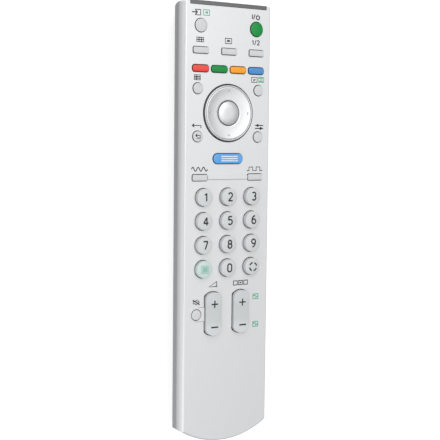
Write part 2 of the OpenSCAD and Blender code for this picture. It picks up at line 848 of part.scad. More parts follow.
module rocker() {
    half_l = rocker_l / 2;
    dip_r = (half_l * half_l + rocker_dip * rocker_dip) / (2 * rocker_dip);
    top_z = face_z + rocker_rise;
    for (y = [-rocker_stem_y, rocker_stem_y])
        translate([0, y, rocker_stem_z0]) cylinder(d = stem_d, h = rocker_flange_z1 - rocker_stem_z0);
    translate([0, 0, rocker_flange_z0]) linear_extrude(tilt_flange_t) rocker_outline(flange_out);
    difference() {
        translate([0, 0, rocker_flange_z0]) linear_extrude(top_z + rocker_dip - rocker_flange_z0)
            rocker_outline();
        translate([0, 0, top_z - rocker_dip + dip_r]) rotate([0, 90, 0])
            cylinder(r = dip_r, h = 2 * rocker_w, center = true, $fn = 360);
    }
}

module nav_ring() {
    bore_r = nav_bore_d / 2;
    crest_r = nav_r - nav_bevel;
    color("#c9cbce") translate([0, nav_y]) {
        rotate_extrude($fn = 120) polygon([
            [bore_r, nav_under_z],
            [nav_step_r, nav_under_z],
            [nav_step_r, nav_flange_z0],
            [nav_flange_r, nav_flange_z0],
            [nav_flange_r, nav_flange_z1],
            [nav_r, nav_flange_z1],
            [nav_r, face_z + nav_edge_rise],
            [crest_r, face_z + nav_rise],
            [bore_r, face_z + nav_rise - nav_dish]
        ]);
        for (a = [0 : 90 : 270])
            rotate(a) translate([nav_foot_r, 0, nav_foot_z0])
                cylinder(d = stem_d, h = nav_flange_z1 - nav_foot_z0);
    }
}

module nav_cushion() {
    color("#b9bdbf") translate([0, nav_y, cushion_z0]) difference() {
        cylinder(r = cushion_r1, h = cushion_z1 - cushion_z0);
        translate([0, 0, -1]) cylinder(r = cushion_r0, h = cushion_z1 - cushion_z0 + 2);
    }
}

module ok_key() {
    r = nav_bore_d / 2 - ok_clear;
    dome_r = (r * r + ok_crown * ok_crown) / (2 * ok_crown);
    top_z = face_z + ok_rise;
    color("#d4d6d8") translate([0, nav_y]) rotate_extrude() intersection() {
        translate([0, stem_z0]) square([r, top_z - stem_z0]);
        translate([0, top_z - dome_r]) circle(dome_r, $fn = 180);
    }
}

// Emitter diode in the board's notch, its leads soldered on the board
module ir_led() {
    flange_r = led_d / 2 + 0.3;
    rim_h = 1;
    tube_l = led_d * 1.1;
    lead_w = 0.5;
    lead_x = 1.27;
    back_y = board_y1 - led_notch_l + 1;
    color("#3a3f52") translate([0, back_y, board_z1]) {
        rotate([-90, 0, 0]) {
            cylinder(r = flange_r, h = rim_h);
            cylinder(d = led_d, h = tube_l);
            translate([0, 0, tube_l]) sphere(d = led_d);
        }
        for (x = [-lead_x, lead_x])
            translate([x - lead_w / 2, 0.5 - lead_run, 0]) cube([lead_w, lead_run, lead_w]);
    }
}

// Flat chip under the board with two rows of bent leads
module control_chip() {
    size = [chip_w, chip_l, chip_h];
    pins = 10;
    pitch = 1.27;
    lead_w = 0.4;
    lead_out = 1.4;
    lead_t = 0.2;
    color("#2b2c2e") translate([0, nav_y, deck_z1 - size.z]) {
        translate([-size.x / 2, -size.y / 2, 0]) cube([size.x, size.y, size.z - lead_t]);
        for (s = [0, 1], i = [0 : pins - 1])
            mirror([s, 0, 0]) translate([size.x / 2, (i - (pins - 1) / 2) * pitch - lead_w / 2, 0]) {
                translate([-lead_t, 0, size.z / 2]) cube([lead_out / 2 + lead_t, lead_w, lead_t]);
                translate([lead_out / 2 - lead_t, 0, size.z / 2]) cube([lead_t, lead_w, size.z / 2]);
                translate([lead_out / 2 - lead_t, 0, size.z - lead_t]) cube([lead_out / 2, lead_w, lead_t]);
            }
    }
}

module ceramic_resonator() {
    size = [7, 3, 5.5];
    lead_w = 0.5;
    lead_l = 1;
    color("#c98b2e") translate([0, nav_y - resonator_drop, deck_z1 - size.z - lead_l]) {
        linear_extrude(size.z) outline([size.x, size.y], 1);
        for (x = [-2.5, 0, 2.5])
            translate([x - lead_w / 2, -lead_w / 2, size.z - lead_w]) cube([lead_w, lead_w, lead_l + lead_w]);
    }
}

// Electrolytic capacitor lying under the board
module capacitor() {
    can_d = 6.3;
    can_l = 11;
    groove_at = 2;
    groove_d = 0.4;
    lead_d = 0.6;
    lead_l = 2;
    color("#30343c") translate([capacitor_x, nav_y - capacitor_drop, deck_z1 - can_d / 2]) rotate([-90, 0, 0]) {
        rotate_extrude() polygon([
            [0, 0],
            [can_d / 2, 0],
            [can_d / 2, groove_at],
            [can_d / 2 - groove_d, groove_at + groove_d],
            [can_d / 2, groove_at + 2 * groove_d],
            [can_d / 2, can_l],
            [0, can_l]
        ]);
        for (x = [-1.25, 1.25])
            translate([x, 0, 0.5 - lead_l]) cylinder(d = lead_d, h = lead_l);
    }
}

// AA cell with its button towards +Y, its flat end at the origin
module cell() {
    button_d = 5.4;
    button_h = 1.2;
    can_l = cell_l - button_h;
    edge = 0.5;
    rotate([-90, 0, 0]) rotate_extrude($fn = 96) polygon([
        [0, 0],
        [cell_d / 2 - edge, 0],
        [cell_d / 2, edge],
        [cell_d / 2, can_l - edge],
        [cell_d / 2 - edge, can_l],
        [button_d / 2, can_l],
        [button_d / 2, cell_l],
        [0, cell_l]
    ]);
}
module battery_1() {
    color("#3d6f9e") translate([cell_x, bay_y1 - plate_t - fit - cell_l, cell_z]) cell();
}
module battery_2() {
    color("#3d6f9e") translate([-cell_x, bay_y0 + plate_t + fit + cell_l, cell_z]) mirror([0, 1, 0]) cell();
}

// Contact plate against the head wall, with a solder tab through deck and board
module head_plate(x) {
    color("#c4c7ca") translate([x, bay_y1 - plate_t, 0]) {
        translate([-plate_w / 2, 0, plate_low]) cube([plate_w, plate_t, deck_z0 - plate_low]);
        translate([-tab_w / 2, 0, deck_z0 - 1]) cube([tab_w, plate_t, board_z1 - deck_z0 + 1]);
    }
}
module positive_contact() {
    head_plate(cell_x);
}
module negative_contact() {
    head_plate(-cell_x);
}
module link_contact() {
    link_w = 2 * cell_x + plate_w;
    color("#c4c7ca") translate([-link_w / 2, bay_y0, plate_low]) cube([link_w, plate_t, deck_z0 - plate_low]);
}

// Conical coil spring along +Z, swept as one tube of six sides
ring_sides = 6;
turn_rings = 16;
spring_steps = spring_turns * turn_rings;
spring_rise = spring_l - wire_d - 2 * rest_gap;
function spring_point(i) =
    let (u = i / spring_steps, r = spring_r0 + (spring_r1 - spring_r0) * u)
    [r * cos(360 * i / turn_rings), r * sin(360 * i / turn_rings), wire_d / 2 + rest_gap + spring_rise * u];
function ring_point(i, j) =
    let (p = spring_point(i), a = 360 * i / turn_rings, b = 360 * j / ring_sides)
    p + wire_d / 2 * (cos(b) * [cos(a), sin(a), 0] + sin(b) * [0, 0, 1]);
spring_gap = min([
    for (i = [0 : spring_steps], j = [i + turn_rings / 2 : spring_steps])
        norm(spring_point(i) - spring_point(j)) - wire_d
]);
echo(spring_gap = spring_gap);
module spring() {
    points = [for (i = [0 : spring_steps], j = [0 : ring_sides - 1]) ring_point(i, j)];
    side_faces = [
        for (i = [0 : spring_steps - 1], j = [0 : ring_sides - 1], half = [0, 1])
            let (
                k = (j + 1) % ring_sides,
                a = i * ring_sides + j,
                b = i * ring_sides + k,
                c = a + ring_sides,
                d = b + ring_sides
            )
            half == 0 ? [a, b, d] : [a, d, c]
    ];
    end = spring_steps * ring_sides;
    end_faces = [
        for (j = [1 : ring_sides - 2], last = [0, 1])
            last == 0 ? [0, j + 1, j] : [end, end + j, end + j + 1]
    ];
    polyhedron(points, concat(side_faces, end_faces));
}
module battery_springs() {
    color("#b4b7ba") {
        translate([cell_x, bay_y0 + plate_t, cell_z]) rotate([-90, 0, 0]) spring();
        translate([-cell_x, bay_y1 - plate_t, cell_z]) rotate([90, 0, 0]) spring();
    }
}

top_cover();
bottom_cover();
battery_cover();
ir_window();
case_screws();
circuit_board();
rubber_keypad();
nav_cushion();
ir_led();
control_chip();
ceramic_resonator();
capacitor();
battery_1();
battery_2();
positive_contact();
negative_contact();
link_contact();
battery_springs();
nav_ring();
ok_key();
for (k = ROUND_KEYS)
    color(k[5]) translate(k[2]) round_key(k[1], k[3], k[4]);
for (i = [0 : len(NUMBER_NAMES) - 1])
    color(number_grey) translate(number_place(i)) round_key(number_key_d, number_rise, number_crown);
for (k = BLOCK_KEYS)
    color(k[5]) translate(k[3]) block_key(k[1], k[2], k[4], block_crown);
for (k = ROCKERS)
    color(number_grey) translate(k[1]) rocker();
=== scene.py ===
# Looks of a handheld remote control: lacquered shells, moulded keys, a satin ring and printed signs.
import json
import math

import bpy
from mathutils import Matrix, Vector

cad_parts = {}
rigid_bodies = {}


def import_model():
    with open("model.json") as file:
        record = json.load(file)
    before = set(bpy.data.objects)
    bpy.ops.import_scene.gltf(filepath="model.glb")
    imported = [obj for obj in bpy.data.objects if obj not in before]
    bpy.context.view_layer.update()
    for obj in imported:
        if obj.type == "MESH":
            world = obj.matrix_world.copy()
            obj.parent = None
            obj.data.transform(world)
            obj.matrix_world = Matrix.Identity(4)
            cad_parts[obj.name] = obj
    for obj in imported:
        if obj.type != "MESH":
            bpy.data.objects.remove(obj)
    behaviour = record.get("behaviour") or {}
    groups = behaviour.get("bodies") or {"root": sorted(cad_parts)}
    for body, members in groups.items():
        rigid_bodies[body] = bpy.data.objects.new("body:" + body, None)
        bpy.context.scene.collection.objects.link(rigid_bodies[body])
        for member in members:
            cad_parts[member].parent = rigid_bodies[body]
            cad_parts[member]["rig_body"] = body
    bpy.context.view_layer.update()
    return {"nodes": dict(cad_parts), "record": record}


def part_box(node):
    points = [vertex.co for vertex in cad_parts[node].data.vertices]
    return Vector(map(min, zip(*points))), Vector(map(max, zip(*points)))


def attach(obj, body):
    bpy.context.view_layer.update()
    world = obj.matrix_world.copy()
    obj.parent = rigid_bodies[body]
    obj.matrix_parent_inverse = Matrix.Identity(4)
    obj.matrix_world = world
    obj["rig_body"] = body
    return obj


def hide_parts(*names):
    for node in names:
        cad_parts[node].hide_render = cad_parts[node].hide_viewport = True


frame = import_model()
nodes = frame["nodes"]
mm = 0.001  # the frame is in metres, and sizes below are in millimetres
near, hair = 0.01, 0.001  # millimetres that count as touching, and as one point
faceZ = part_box("ir_window")[1].z / mm  # the window ends level with the face
print("frame loaded:", len(nodes), "nodes, face at", round(faceZ, 2), "mm")

# Which finish each node takes: the slot names are the record's own
finishOf = {row["node"]: row["material_slot"] for row in frame["record"]["subparts"]}


def linear(hexCode):
    channels = [int(hexCode[i : i + 2], 16) / 255 for i in (1, 3, 5)]
    return [c / 12.92 if c <= 0.04045 else ((c + 0.055) / 1.055) ** 2.4 for c in channels] + [1]


def addNode(tree, kind, settings=None, links=None):
    node = tree.nodes.new(kind)
    for key, value in (settings or {}).items():
        if isinstance(key, int) or key in node.inputs:
            node.inputs[key].default_value = value
        else:
            setattr(node, key, value)
    for key, source in (links or {}).items():
        tree.links.new(source, node.inputs[key])
    return node


def newMaterial(name):
    material = bpy.data.materials.new(name)
    material.use_nodes = True
    tree = material.node_tree
    tree.nodes.clear()
    shader = addNode(tree, "ShaderNodeBsdfPrincipled")
    addNode(tree, "ShaderNodeOutputMaterial", links={"Surface": shader.outputs["BSDF"]})
    place = addNode(tree, "ShaderNodeTexCoord").outputs["Object"]
    return material, tree, shader, place


def perMetre(sizeMm):
    return 1 / (sizeMm * mm)  # pattern scale that makes one cell this many millimetres


def noise(tree, place, cellMm, detail):
    settings = {"Scale": perMetre(cellMm), "Detail": detail}
    return addNode(tree, "ShaderNodeTexNoise", settings, {"Vector": place})


# A plain colour where the share is 0, and what lies over it where the share is 1
def mixOver(tree, colour, share, over):
    links = {"Fac": share.outputs["Result"], "Color2": over.outputs["Color"]}
    return addNode(tree, "ShaderNodeMixRGB", {"Color1": linear(colour)}, links)


# A moulded or lacquered surface: slow blotches tint it and change its gloss, and a fine grain roughens it
def plasticFinish(look):
    material, tree, shader, place = newMaterial(look["name"])
    cloud = noise(tree, place, look["cloudMm"], 3)
    if "flakeMm" in look:  # metal flakes in the lacquer, each at its own angle
        grainMm = look["flakeMm"]
        flakes = addNode(tree, "ShaderNodeTexVoronoi", {"Scale": perMetre(grainMm)}, {"Vector": place})
        mottle = height = flakes.outputs["Color"]
    else:  # spark-eroded mould grain
        grainMm = look["grainMm"]
        mottle, height = cloud.outputs["Fac"], noise(tree, place, grainMm, 2).outputs["Fac"]
    shades = {"Color1": linear(look["dark"]), "Color2": linear(look["colour"])}
    tint = addNode(tree, "ShaderNodeMixRGB", shades, {"Fac": mottle})
    axes = addNode(tree, "ShaderNodeSeparateXYZ", links={"Vector": place})
    if "worn" in look:  # painted shade: a stretch along the piece is darkened
        worn = look["worn"]
        middle = {"operation": "SUBTRACT", 1: worn["at"] * mm}
        along = addNode(tree, "ShaderNodeMath", middle, {0: axes.outputs["Y"]})
        away = addNode(tree, "ShaderNodeMath", {"operation": "ABSOLUTE"}, {0: along.outputs[0]})
        ends = {"From Min": worn["full"] * mm, "From Max": worn["none"] * mm}
        ends["interpolation_type"] = "SMOOTHSTEP"
        fade = addNode(tree, "ShaderNodeMapRange", ends, {"Value": away.outputs[0]})
        tint = mixOver(tree, worn["colour"], fade, tint)
    if "skirt" in look:  # painted shade: the colour darkens between two heights from the face
        full, none, colour = look["skirt"]
        ends = {"From Min": (faceZ + full) * mm, "From Max": (faceZ + none) * mm}
        depth = addNode(tree, "ShaderNodeMapRange", ends, {"Value": axes.outputs["Z"]})
        tint = mixOver(tree, colour, depth, tint)
    low, high = look["roughness"]
    spread = {"To Min": low, "To Max": high}
    gloss = addNode(tree, "ShaderNodeMapRange", spread, {"Value": cloud.outputs["Fac"]})
    relief = {"Strength": look["bump"], "Distance": grainMm * mm / 8}  # an eighth of a grain's width
    bump = addNode(tree, "ShaderNodeBump", relief, {"Height": height})
    for socket, value in look.get("sockets", abs154).items():
        shader.inputs[socket].default_value = value
    tree.links.new(tint.outputs["Color"], shader.inputs["Base Color"])
    tree.links.new(gloss.outputs["Result"], shader.inputs["Roughness"])
    tree.links.new(bump.outputs["Normal"], shader.inputs["Normal"])
    return material


abs154 = {"IOR": 1.54}  # where a look names no sockets of its own
paleKey = {"roughness": (0.4, 0.5), "grainMm": 0.4, "cloudMm": 5, "bump": 0.06}
pigment = {"roughness": (0.28, 0.36), "grainMm": 0.4, "cloudMm": 4, "bump": 0.05}
looks = {
    # silver lacquer over ABS: pale and half metallic under a thin clear coat, so edges catch a bright line
    # and the face shades softly; painted shade darkens it down the walls towards the seam, and its flakes
    # are drawn coarse enough to show
    "silver_shell": {
        "name": "silverLacquerOnAbs", "colour": "#e1e2e4", "dark": "#dedfe1",
        "roughness": (0.3, 0.34), "flakeMm": 0.5, "cloudMm": 30, "bump": 0.02,
        "skirt": (-6.5, -1.5, "#a6a7aa"),
        "sockets": {"Metallic": 0.3, "Coat Weight": 0.5, "Coat Roughness": 0.12},
    },
    # brighter metallic lacquer on the ring and its middle key: satin, so it shades from grey to white
    "ring_silver": {
        "name": "satinMetallicLacquer", "colour": "#e6e7e8", "dark": "#e1e2e3",
        "roughness": (0.28, 0.34), "flakeMm": 0.4, "cloudMm": 12, "bump": 0.03,
        "sockets": {"Metallic": 0.6},
    },
    # grey ABS with a matt moulded grain, on the lower shell and the battery door
    "grey_shell": {
        "name": "greyMouldedAbs", "colour": "#9c9ea2", "dark": "#95979b",
        "roughness": (0.42, 0.54), "grainMm": 0.6, "cloudMm": 25, "bump": 0.25,
    },
    # pale satin keys, a shade greyer than the lacquer beside them, with painted shade darker round the rim
    # and below the face
    "key_grey": {
        **paleKey, "name": "paleGreyKeyAbs", "colour": "#d3d4d5", "dark": "#cdcecf",
        "roughness": (0.42, 0.52), "cloudMm": 4, "skirt": (-0.35, 0.45, "#4c4e50"),
    },
    # number keys: the same satin, a little cooler
    "key_pale": {**paleKey, "name": "coolPaleKeyAbs", "colour": "#d1d4d6", "dark": "#cbced0"},
    # a pale key with a drop of mint pigment
    "key_mint": {**paleKey, "name": "mintTintedKeyAbs", "colour": "#cbdad6", "dark": "#c5d5d0"},
    # pigmented ABS with polished tops: full colours, with painted shade that runs darker round the rim
    "key_green": {
        **pigment, "name": "greenPigmentedAbs", "colour": "#039040", "dark": "#03893b",
        "roughness": (0.24, 0.32), "skirt": (-0.1, 0.5, "#0a2e17"),
        "sockets": {**abs154, "Specular IOR Level": 0.3},
    },
    "key_red": {
        **pigment, "name": "redPigmentedAbs", "colour": "#ee4636", "dark": "#e63f30",
        "skirt": (-0.1, 0.5, "#5a160f"),
    },
    "key_amber": {
        **pigment, "name": "amberPigmentedAbs", "colour": "#f9a41c", "dark": "#f39b15",
        "skirt": (-0.1, 0.5, "#5c3809"),
    },
    "key_blue": {
        **pigment, "name": "bluePigmentedAbs", "colour": "#4890d2", "dark": "#4087c9",
        "roughness": (0.26, 0.34), "skirt": (-0.1, 0.5, "#122c4a"),
    },
    # smoked polycarbonate that only infrared passes: dark and glossy, with faint flow marks
    "smoke_window": {
        "name": "smokedPolycarbonate", "colour": "#656567", "dark": "#5e5e60",
        "roughness": (0.16, 0.26), "grainMm": 0.8, "cloudMm": 10, "bump": 0.05, "sockets": {"IOR": 1.585},
    },
    # zinc on steel screws: bluish grey metal, unevenly bright
    "zinc_steel": {
        "name": "zincPlatedSteel", "colour": "#b9bbbd", "dark": "#a4a6a9",
        "roughness": (0.25, 0.4), "grainMm": 0.2, "cloudMm": 2, "bump": 0.1, "sockets": {"Metallic": 1.0},
    },
    # moulded silicone: milky grey and dull, with a faint dusty grain
    "silicone": {
        "name": "greySiliconeRubber", "colour": "#cfd2d3", "dark": "#c4c7c8",
        "roughness": (0.55, 0.7), "grainMm": 0.5, "cloudMm": 12, "bump": 0.12, "sockets": {"IOR": 1.43},
    },
    # cast epoxy round the emitter: dark blue-violet and very smooth
    "diode_resin": {
        "name": "darkDiodeEpoxy", "colour": "#3b3f58", "dark": "#33364c",
        "roughness": (0.08, 0.16), "grainMm": 0.5, "cloudMm": 2, "bump": 0.03, "sockets": {"IOR": 1.53},
    },
    # filled black epoxy of a chip: matt, with a sandy grain
    "chip_resin": {
        "name": "blackChipEpoxy", "colour": "#2d2e30", "dark": "#262729",
        "roughness": (0.5, 0.65), "grainMm": 0.25, "cloudMm": 3, "bump": 0.25,
    },
    # resin-dipped ceramic: glossy ochre that pools in uneven drops
    "resonator_ceramic": {
        "name": "dippedCeramicResin", "colour": "#c98b32", "dark": "#bb7d28",
        "roughness": (0.25, 0.38), "grainMm": 0.6, "cloudMm": 2.5, "bump": 0.1,
    },
    # shrink sleeve on an aluminium can: dark slate with a soft shine
    "capacitor_can": {
        "name": "shrinkSleevedCan", "colour": "#343943", "dark": "#2c3039",
        "roughness": (0.3, 0.42), "grainMm": 0.4, "cloudMm": 4, "bump": 0.06,
    },
    # printed film sleeve on a steel cell: slate blue with a foil shine under it
    "cell_can": {
        "name": "printedCellSleeve", "colour": "#3f729f", "dark": "#376891",
        "roughness": (0.22, 0.34), "grainMm": 0.4, "cloudMm": 6, "bump": 0.04, "sockets": {"Metallic": 0.3},
    },
    # nickel plate on spring steel: warm bright metal, brushed by handling
    "contact_plate": {
        "name": "nickelPlatedSpringSteel", "colour": "#cfd0cd", "dark": "#bdbebb",
        "roughness": (0.2, 0.34), "grainMm": 0.2, "cloudMm": 3, "bump": 0.08, "sockets": {"Metallic": 1.0},
    },
    # paper laminate of a cheap board: tan, with cloudy resin
    "board_laminate": {
        "name": "paperPhenolicLaminate", "colour": "#c8a45c", "dark": "#b9944c",
        "roughness": (0.4, 0.55), "grainMm": 0.5, "cloudMm": 8, "bump": 0.12,
    },
}
finishes = {slot: plasticFinish(look) for slot, look in looks.items()}

# Painted shade: a dark, dull material for the walls of the openings and other gaps, so the gaps round the
# keys read dark
paintedShadeLook = {"name": "rawDarkAbs", "colour": "#2b2d2f", "dark": "#26282a", "roughness": (0.5, 0.6)}
paintedShadeLook.update({"grainMm": 0.6, "cloudMm": 10, "bump": 0.15})
paintedShadeWall = plasticFinish(paintedShadeLook)

# Pad-printed ink: a thin, slightly uneven film that is duller than the plastic under it
inkLook = {"roughness": (0.45, 0.6), "grainMm": 0.3, "cloudMm": 1.5, "bump": 0.1, "sockets": {"IOR": 1.5}}
inkShades = {
    "dark": {"name": "charcoalPadInk", "colour": "#2b2b2c", "dark": "#252526"},
    "mint": {"name": "mintPadInk", "colour": "#66b995", "dark": "#5cb08b"},
    "paleMint": {"name": "paleMintPadInk", "colour": "#98c9ba", "dark": "#8dc0b0"},
    "white": {"name": "whitePadInk", "colour": "#f1f5f9", "dark": "#e6ecf2"},
    "faint": {"name": "palePadInk", "colour": "#aeb0b2", "dark": "#a3a5a7"},
}
inks = {shade: plasticFinish({**inkLook, **colours}) for shade, colours in inkShades.items()}
print("finishes mixed:", len(finishes), "and inks:", len(inks))


def dress(piece, material):
    piece.data.materials.clear()
    piece.data.materials.append(material)
    return piece


for nodeName, node in nodes.items():
    dress(node, finishes[finishOf[nodeName]])


def setMode(mode):
    bpy.ops.object.mode_set(mode=mode)


def pickNone():
    bpy.ops.object.select_all(action="DESELECT")


def pick(piece):
    pickNone()
    bpy.context.view_layer.objects.active = piece
    piece.select_set(True)


def startEdit(piece, select="SELECT"):
    pick(piece)
    setMode("EDIT")
    bpy.ops.mesh.select_mode(type="VERT")
    bpy.ops.mesh.select_all(action=select)


# Opens a piece with only the chosen vertices, edges or faces selected
def selectIn(piece, kind, chosen):
    setMode("OBJECT")
    startEdit(piece, "DESELECT")
    bpy.ops.mesh.select_mode(type=kind)
    setMode("OBJECT")
    rows = {"VERT": piece.data.vertices, "EDGE": piece.data.edges, "FACE": piece.data.polygons}[kind]
    rows.foreach_set("select", chosen)
    setMode("EDIT")


def smoothShade(piece, angle=40):
    setMode("OBJECT")
    pick(piece)
    bpy.ops.object.shade_smooth_by_angle(angle=math.radians(angle))
    bpy.ops.object.modifier_add(type="WEIGHTED_NORMAL")  # large flats stay flat beside their rounded edges
    piece.modifiers[-1].keep_sharp = True
    piece.modifiers[-1].weight = 100
    bpy.ops.object.modifier_apply(modifier=piece.modifiers[-1].name)


def standFor(piece, nodeName):
    dress(piece, finishes[finishOf[nodeName]])
    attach(piece, nodes[nodeName]["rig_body"])
    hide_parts(nodeName)
    return piece


def keyBox(nodeName):
    low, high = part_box(nodeName)
    return (low + high) / 2 / mm, (high - low) / mm, low.z / mm, high.z / mm


def applyPlace(piece):
    pick(piece)
    bpy.ops.object.transform_apply(location=True, rotation=True, scale=True)


# Names the piece just added, and moves its place into its mesh
def settled(name):
    piece = bpy.context.object
    piece.name = name
    applyPlace(piece)
    return piece


# A copy of a moulded shell whose sharp edges are broken as a mould leaves them
def softened(name, nodeName, edge):
    piece = nodes[nodeName].copy()
    piece.data = nodes[nodeName].data.copy()
    piece.name = name
    piece.parent = None
    for key in [k for k in piece.keys() if k.startswith("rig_")]:
        del piece[key]
    bpy.context.scene.collection.objects.link(piece)
    startEdit(piece)
    bpy.ops.mesh.customdata_custom_splitnormals_clear()
    bpy.ops.mesh.remove_doubles(threshold=edge["weld"] * mm)
    bpy.ops.mesh.dissolve_limited(angle_limit=math.radians(edge["flat"]))
    bpy.ops.mesh.select_all(action="DESELECT")
    bpy.ops.mesh.select_mode(type="EDGE")
    bpy.ops.mesh.edges_select_sharp(sharpness=math.radians(edge["sharpness"]))
    bpy.ops.mesh.bevel(offset=edge["width"] * mm, segments=edge["steps"], clamp_overlap=True)
    smoothShade(piece)
    return standFor(piece, nodeName)


shellEdge = {"width": 0.15, "steps": 2, "sharpness": 50, "weld": 0.002, "flat": 0.2}
topShell = softened("topShell", "top_cover", shellEdge)
bottomShell = softened("bottomShell", "bottom_cover", shellEdge)
softened("batteryDoor", "battery_cover", shellEdge)
softened("windowStrip", "ir_window", shellEdge)
softened("keypadSheet", "rubber_keypad", {**shellEdge, "width": 0.25})

# The lower shell's corners at the emitter end are as round down its sides as they are at the seam
cornerRound = {"r": 2.6, "back": 3.2, "strips": (13, 15, 17, 19, 20.5, 22, 23.5), "steps": 6}
cornerRound.update({"facing": 0.1, "probe": 12})  # how far a face turns outward, where the end is felt
endY = max(v.co.y for v in bottomShell.data.vertices)
backY = endY - cornerRound["back"] * mm
startEdit(bottomShell)
bpy.ops.mesh.bisect(plane_co=(0, backY, 0), plane_no=(0, 1, 0))
for x in cornerRound["strips"]:
    for side in (-1, 1):
        bpy.ops.mesh.select_all(action="SELECT")
        bpy.ops.mesh.bisect(plane_co=(side * x * mm, 0, 0), plane_no=(1, 0, 0))
setMode("OBJECT")


def byCorner(polygon):
    at, away, facing = polygon.center, polygon.normal, cornerRound["facing"]
    turnedOut = away.y > facing or away.x * at.x > facing * abs(at.x)
    return turnedOut and at.y > backY and abs(at.x) > cornerRound["strips"][0] * mm


selectIn(bottomShell, "FACE", [byCorner(polygon) for polygon in bottomShell.data.polygons])
bpy.ops.mesh.quads_convert_to_tris()
bpy.ops.mesh.subdivide(number_cuts=cornerRound["steps"])
setMode("OBJECT")
r, probe = cornerRound["r"] * mm, cornerRound["probe"] * mm
moves = []
for v in bottomShell.data.vertices:
    if v.co.y < endY - 2 * r or abs(v.co.x) < probe:
        continue
    side = 1 if v.co.x > 0 else -1
    hitX, flank = bottomShell.ray_cast(Vector((side, endY - 2 * r, v.co.z)), Vector((-side, 0, 0)))[:2]
    hitY, end = bottomShell.ray_cast(Vector((side * probe, 1, v.co.z)), Vector((0, -1, 0)))[:2]
    if hitX and hitY:
        middle = Vector((flank.x - side * r, end.y - r))
        reach = Vector((v.co.x, v.co.y)) - middle
        if reach.x * side > 0 and reach.y > 0 and reach.length > r:
            moves.append((v.index, middle + reach.normalized() * r))
for index, place in moves:
    bottomShell.data.vertices[index].co.xy = place
smoothShade(bottomShell)
print("corner points rounded:", len(moves))

# Painted shade: the dark wall material goes on the far walls of the key openings, the near ones below the
# ring, and all of the ring's;
# round the tail's edge painted shade darkens the lacquer to the grey of the lower shell
paintedShadeReach = {"steep": 0.45, "left": -0.35, "depth": 0.2}
tailShade = {"long": 9, "steep": -0.25, "skirt": (-0.5, 0, "#9c9ea2")}
keyEnds, keyStarts = ("_key", "_rocker", "_ring"), ("key_", "mode_key")
keyNames = [n for n in nodes if n.endswith(keyEnds) or n.startswith(keyStarts)]
keyRooms = {nodeName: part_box(nodeName) for nodeName in keyNames}
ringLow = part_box("nav_ring")[0].y
tailShadeLook = {**looks["silver_shell"], "name": "thinTailLacquer", "skirt": tailShade["skirt"]}
topShell.data.materials.append(paintedShadeWall)
topShell.data.materials.append(plasticFinish(tailShadeLook))
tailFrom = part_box("top_cover")[0].y + tailShade["long"] * mm
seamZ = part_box("top_cover")[0].z / mm
for polygon in topShell.data.polygons:
    at, away, steep = polygon.center, polygon.normal, paintedShadeReach["steep"]
    rooms = [n for n, (low, high) in keyRooms.items() if low.x < at.x < high.x and low.y < at.y < high.y]
    inPaintedShade = away.y < -steep or away.x > steep or (away.y > steep and at.y < ringLow)
    inPaintedShade = inPaintedShade and away.x > paintedShadeReach["left"]
    if rooms and (inPaintedShade or "nav_ring" in rooms) and at.z / mm < faceZ - paintedShadeReach["depth"]:
        polygon.material_index = 1
    elif at.y < tailFrom and away.y < tailShade["steep"] and at.z / mm > seamZ:
        polygon.material_index = 2
print("shells softened, openings found:", len(keyRooms))

# Painted shadow lines at the foot of the raised bar and round the mute tab: narrow dark strips let into the
# face
lineFit = {"high": 0.3, "sunk": 0.13, "bar": 0.98, "tab": 0.38, "head": 0.3, "headFrom": 1.5, "tuck": 0.2}
tuner, mute = keyBox("analog_key"), keyBox("mute_key")
tunerEnd = tuner[0].x + tuner[1].x / 2
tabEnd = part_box("volume_rocker")[0].x / mm + lineFit["tuck"]
tabLow, tabTop = mute[0].y - mute[1].y / 2 - lineFit["tab"], mute[0].y + mute[1].y / 2 + lineFit["head"]
paintedShadowLines = {
    "barFoot": {"left": tunerEnd, "right": -tunerEnd, "at": tuner[0].y - lineFit["bar"], "wide": 0.2},
    "tabFoot": {"left": mute[0].x, "right": tabEnd, "at": tabLow, "wide": 0.2},
    "tabHead": {"left": mute[0].x + lineFit["headFrom"], "right": tabEnd, "at": tabTop, "wide": 0.1},
}
for name, line in paintedShadowLines.items():
    pickNone()
    bpy.ops.mesh.primitive_cube_add(
        size=mm,
        location=Vector(((line["left"] + line["right"]) / 2, line["at"], faceZ - lineFit["sunk"])) * mm,
        scale=(line["right"] - line["left"], line["wide"], lineFit["high"]),
    )
    strip = dress(settled(name), paintedShadeWall)
    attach(strip, "case")


# A turned solid: a circle is extruded along its profile of radius and height, in millimetres
def turned(name, centre, profile, segments=72, ring=False):
    radius, height = profile[0]
    pickNone()
    bpy.ops.mesh.primitive_circle_add(
        vertices=segments,
        radius=radius * mm,
        location=(centre[0] * mm, centre[1] * mm, height * mm),
        fill_type="NOTHING" if ring else "NGON",
    )
    piece = settled(name)
    startEdit(piece)
    middle = (centre[0] * mm, centre[1] * mm, 0)
    for nextRadius, nextHeight in profile[1:]:
        rise = {"value": (0, 0, (nextHeight - height) * mm)}
        bpy.ops.mesh.extrude_region_move(TRANSFORM_OT_translate=rise)
        ratio = nextRadius / radius
        bpy.ops.transform.resize(value=(ratio, ratio, 1), center_override=middle)
        radius, height = nextRadius, nextHeight
    if ring:
        bpy.ops.mesh.select_all(action="SELECT")
        bpy.ops.mesh.remove_doubles(threshold=hair * mm)  # the profile closes on its start
    else:
        bpy.ops.mesh.poke()  # the last small disc becomes the top of the dome
    bpy.ops.mesh.select_all(action="SELECT")
    bpy.ops.mesh.normals_make_consistent(inside=False)
    return piece


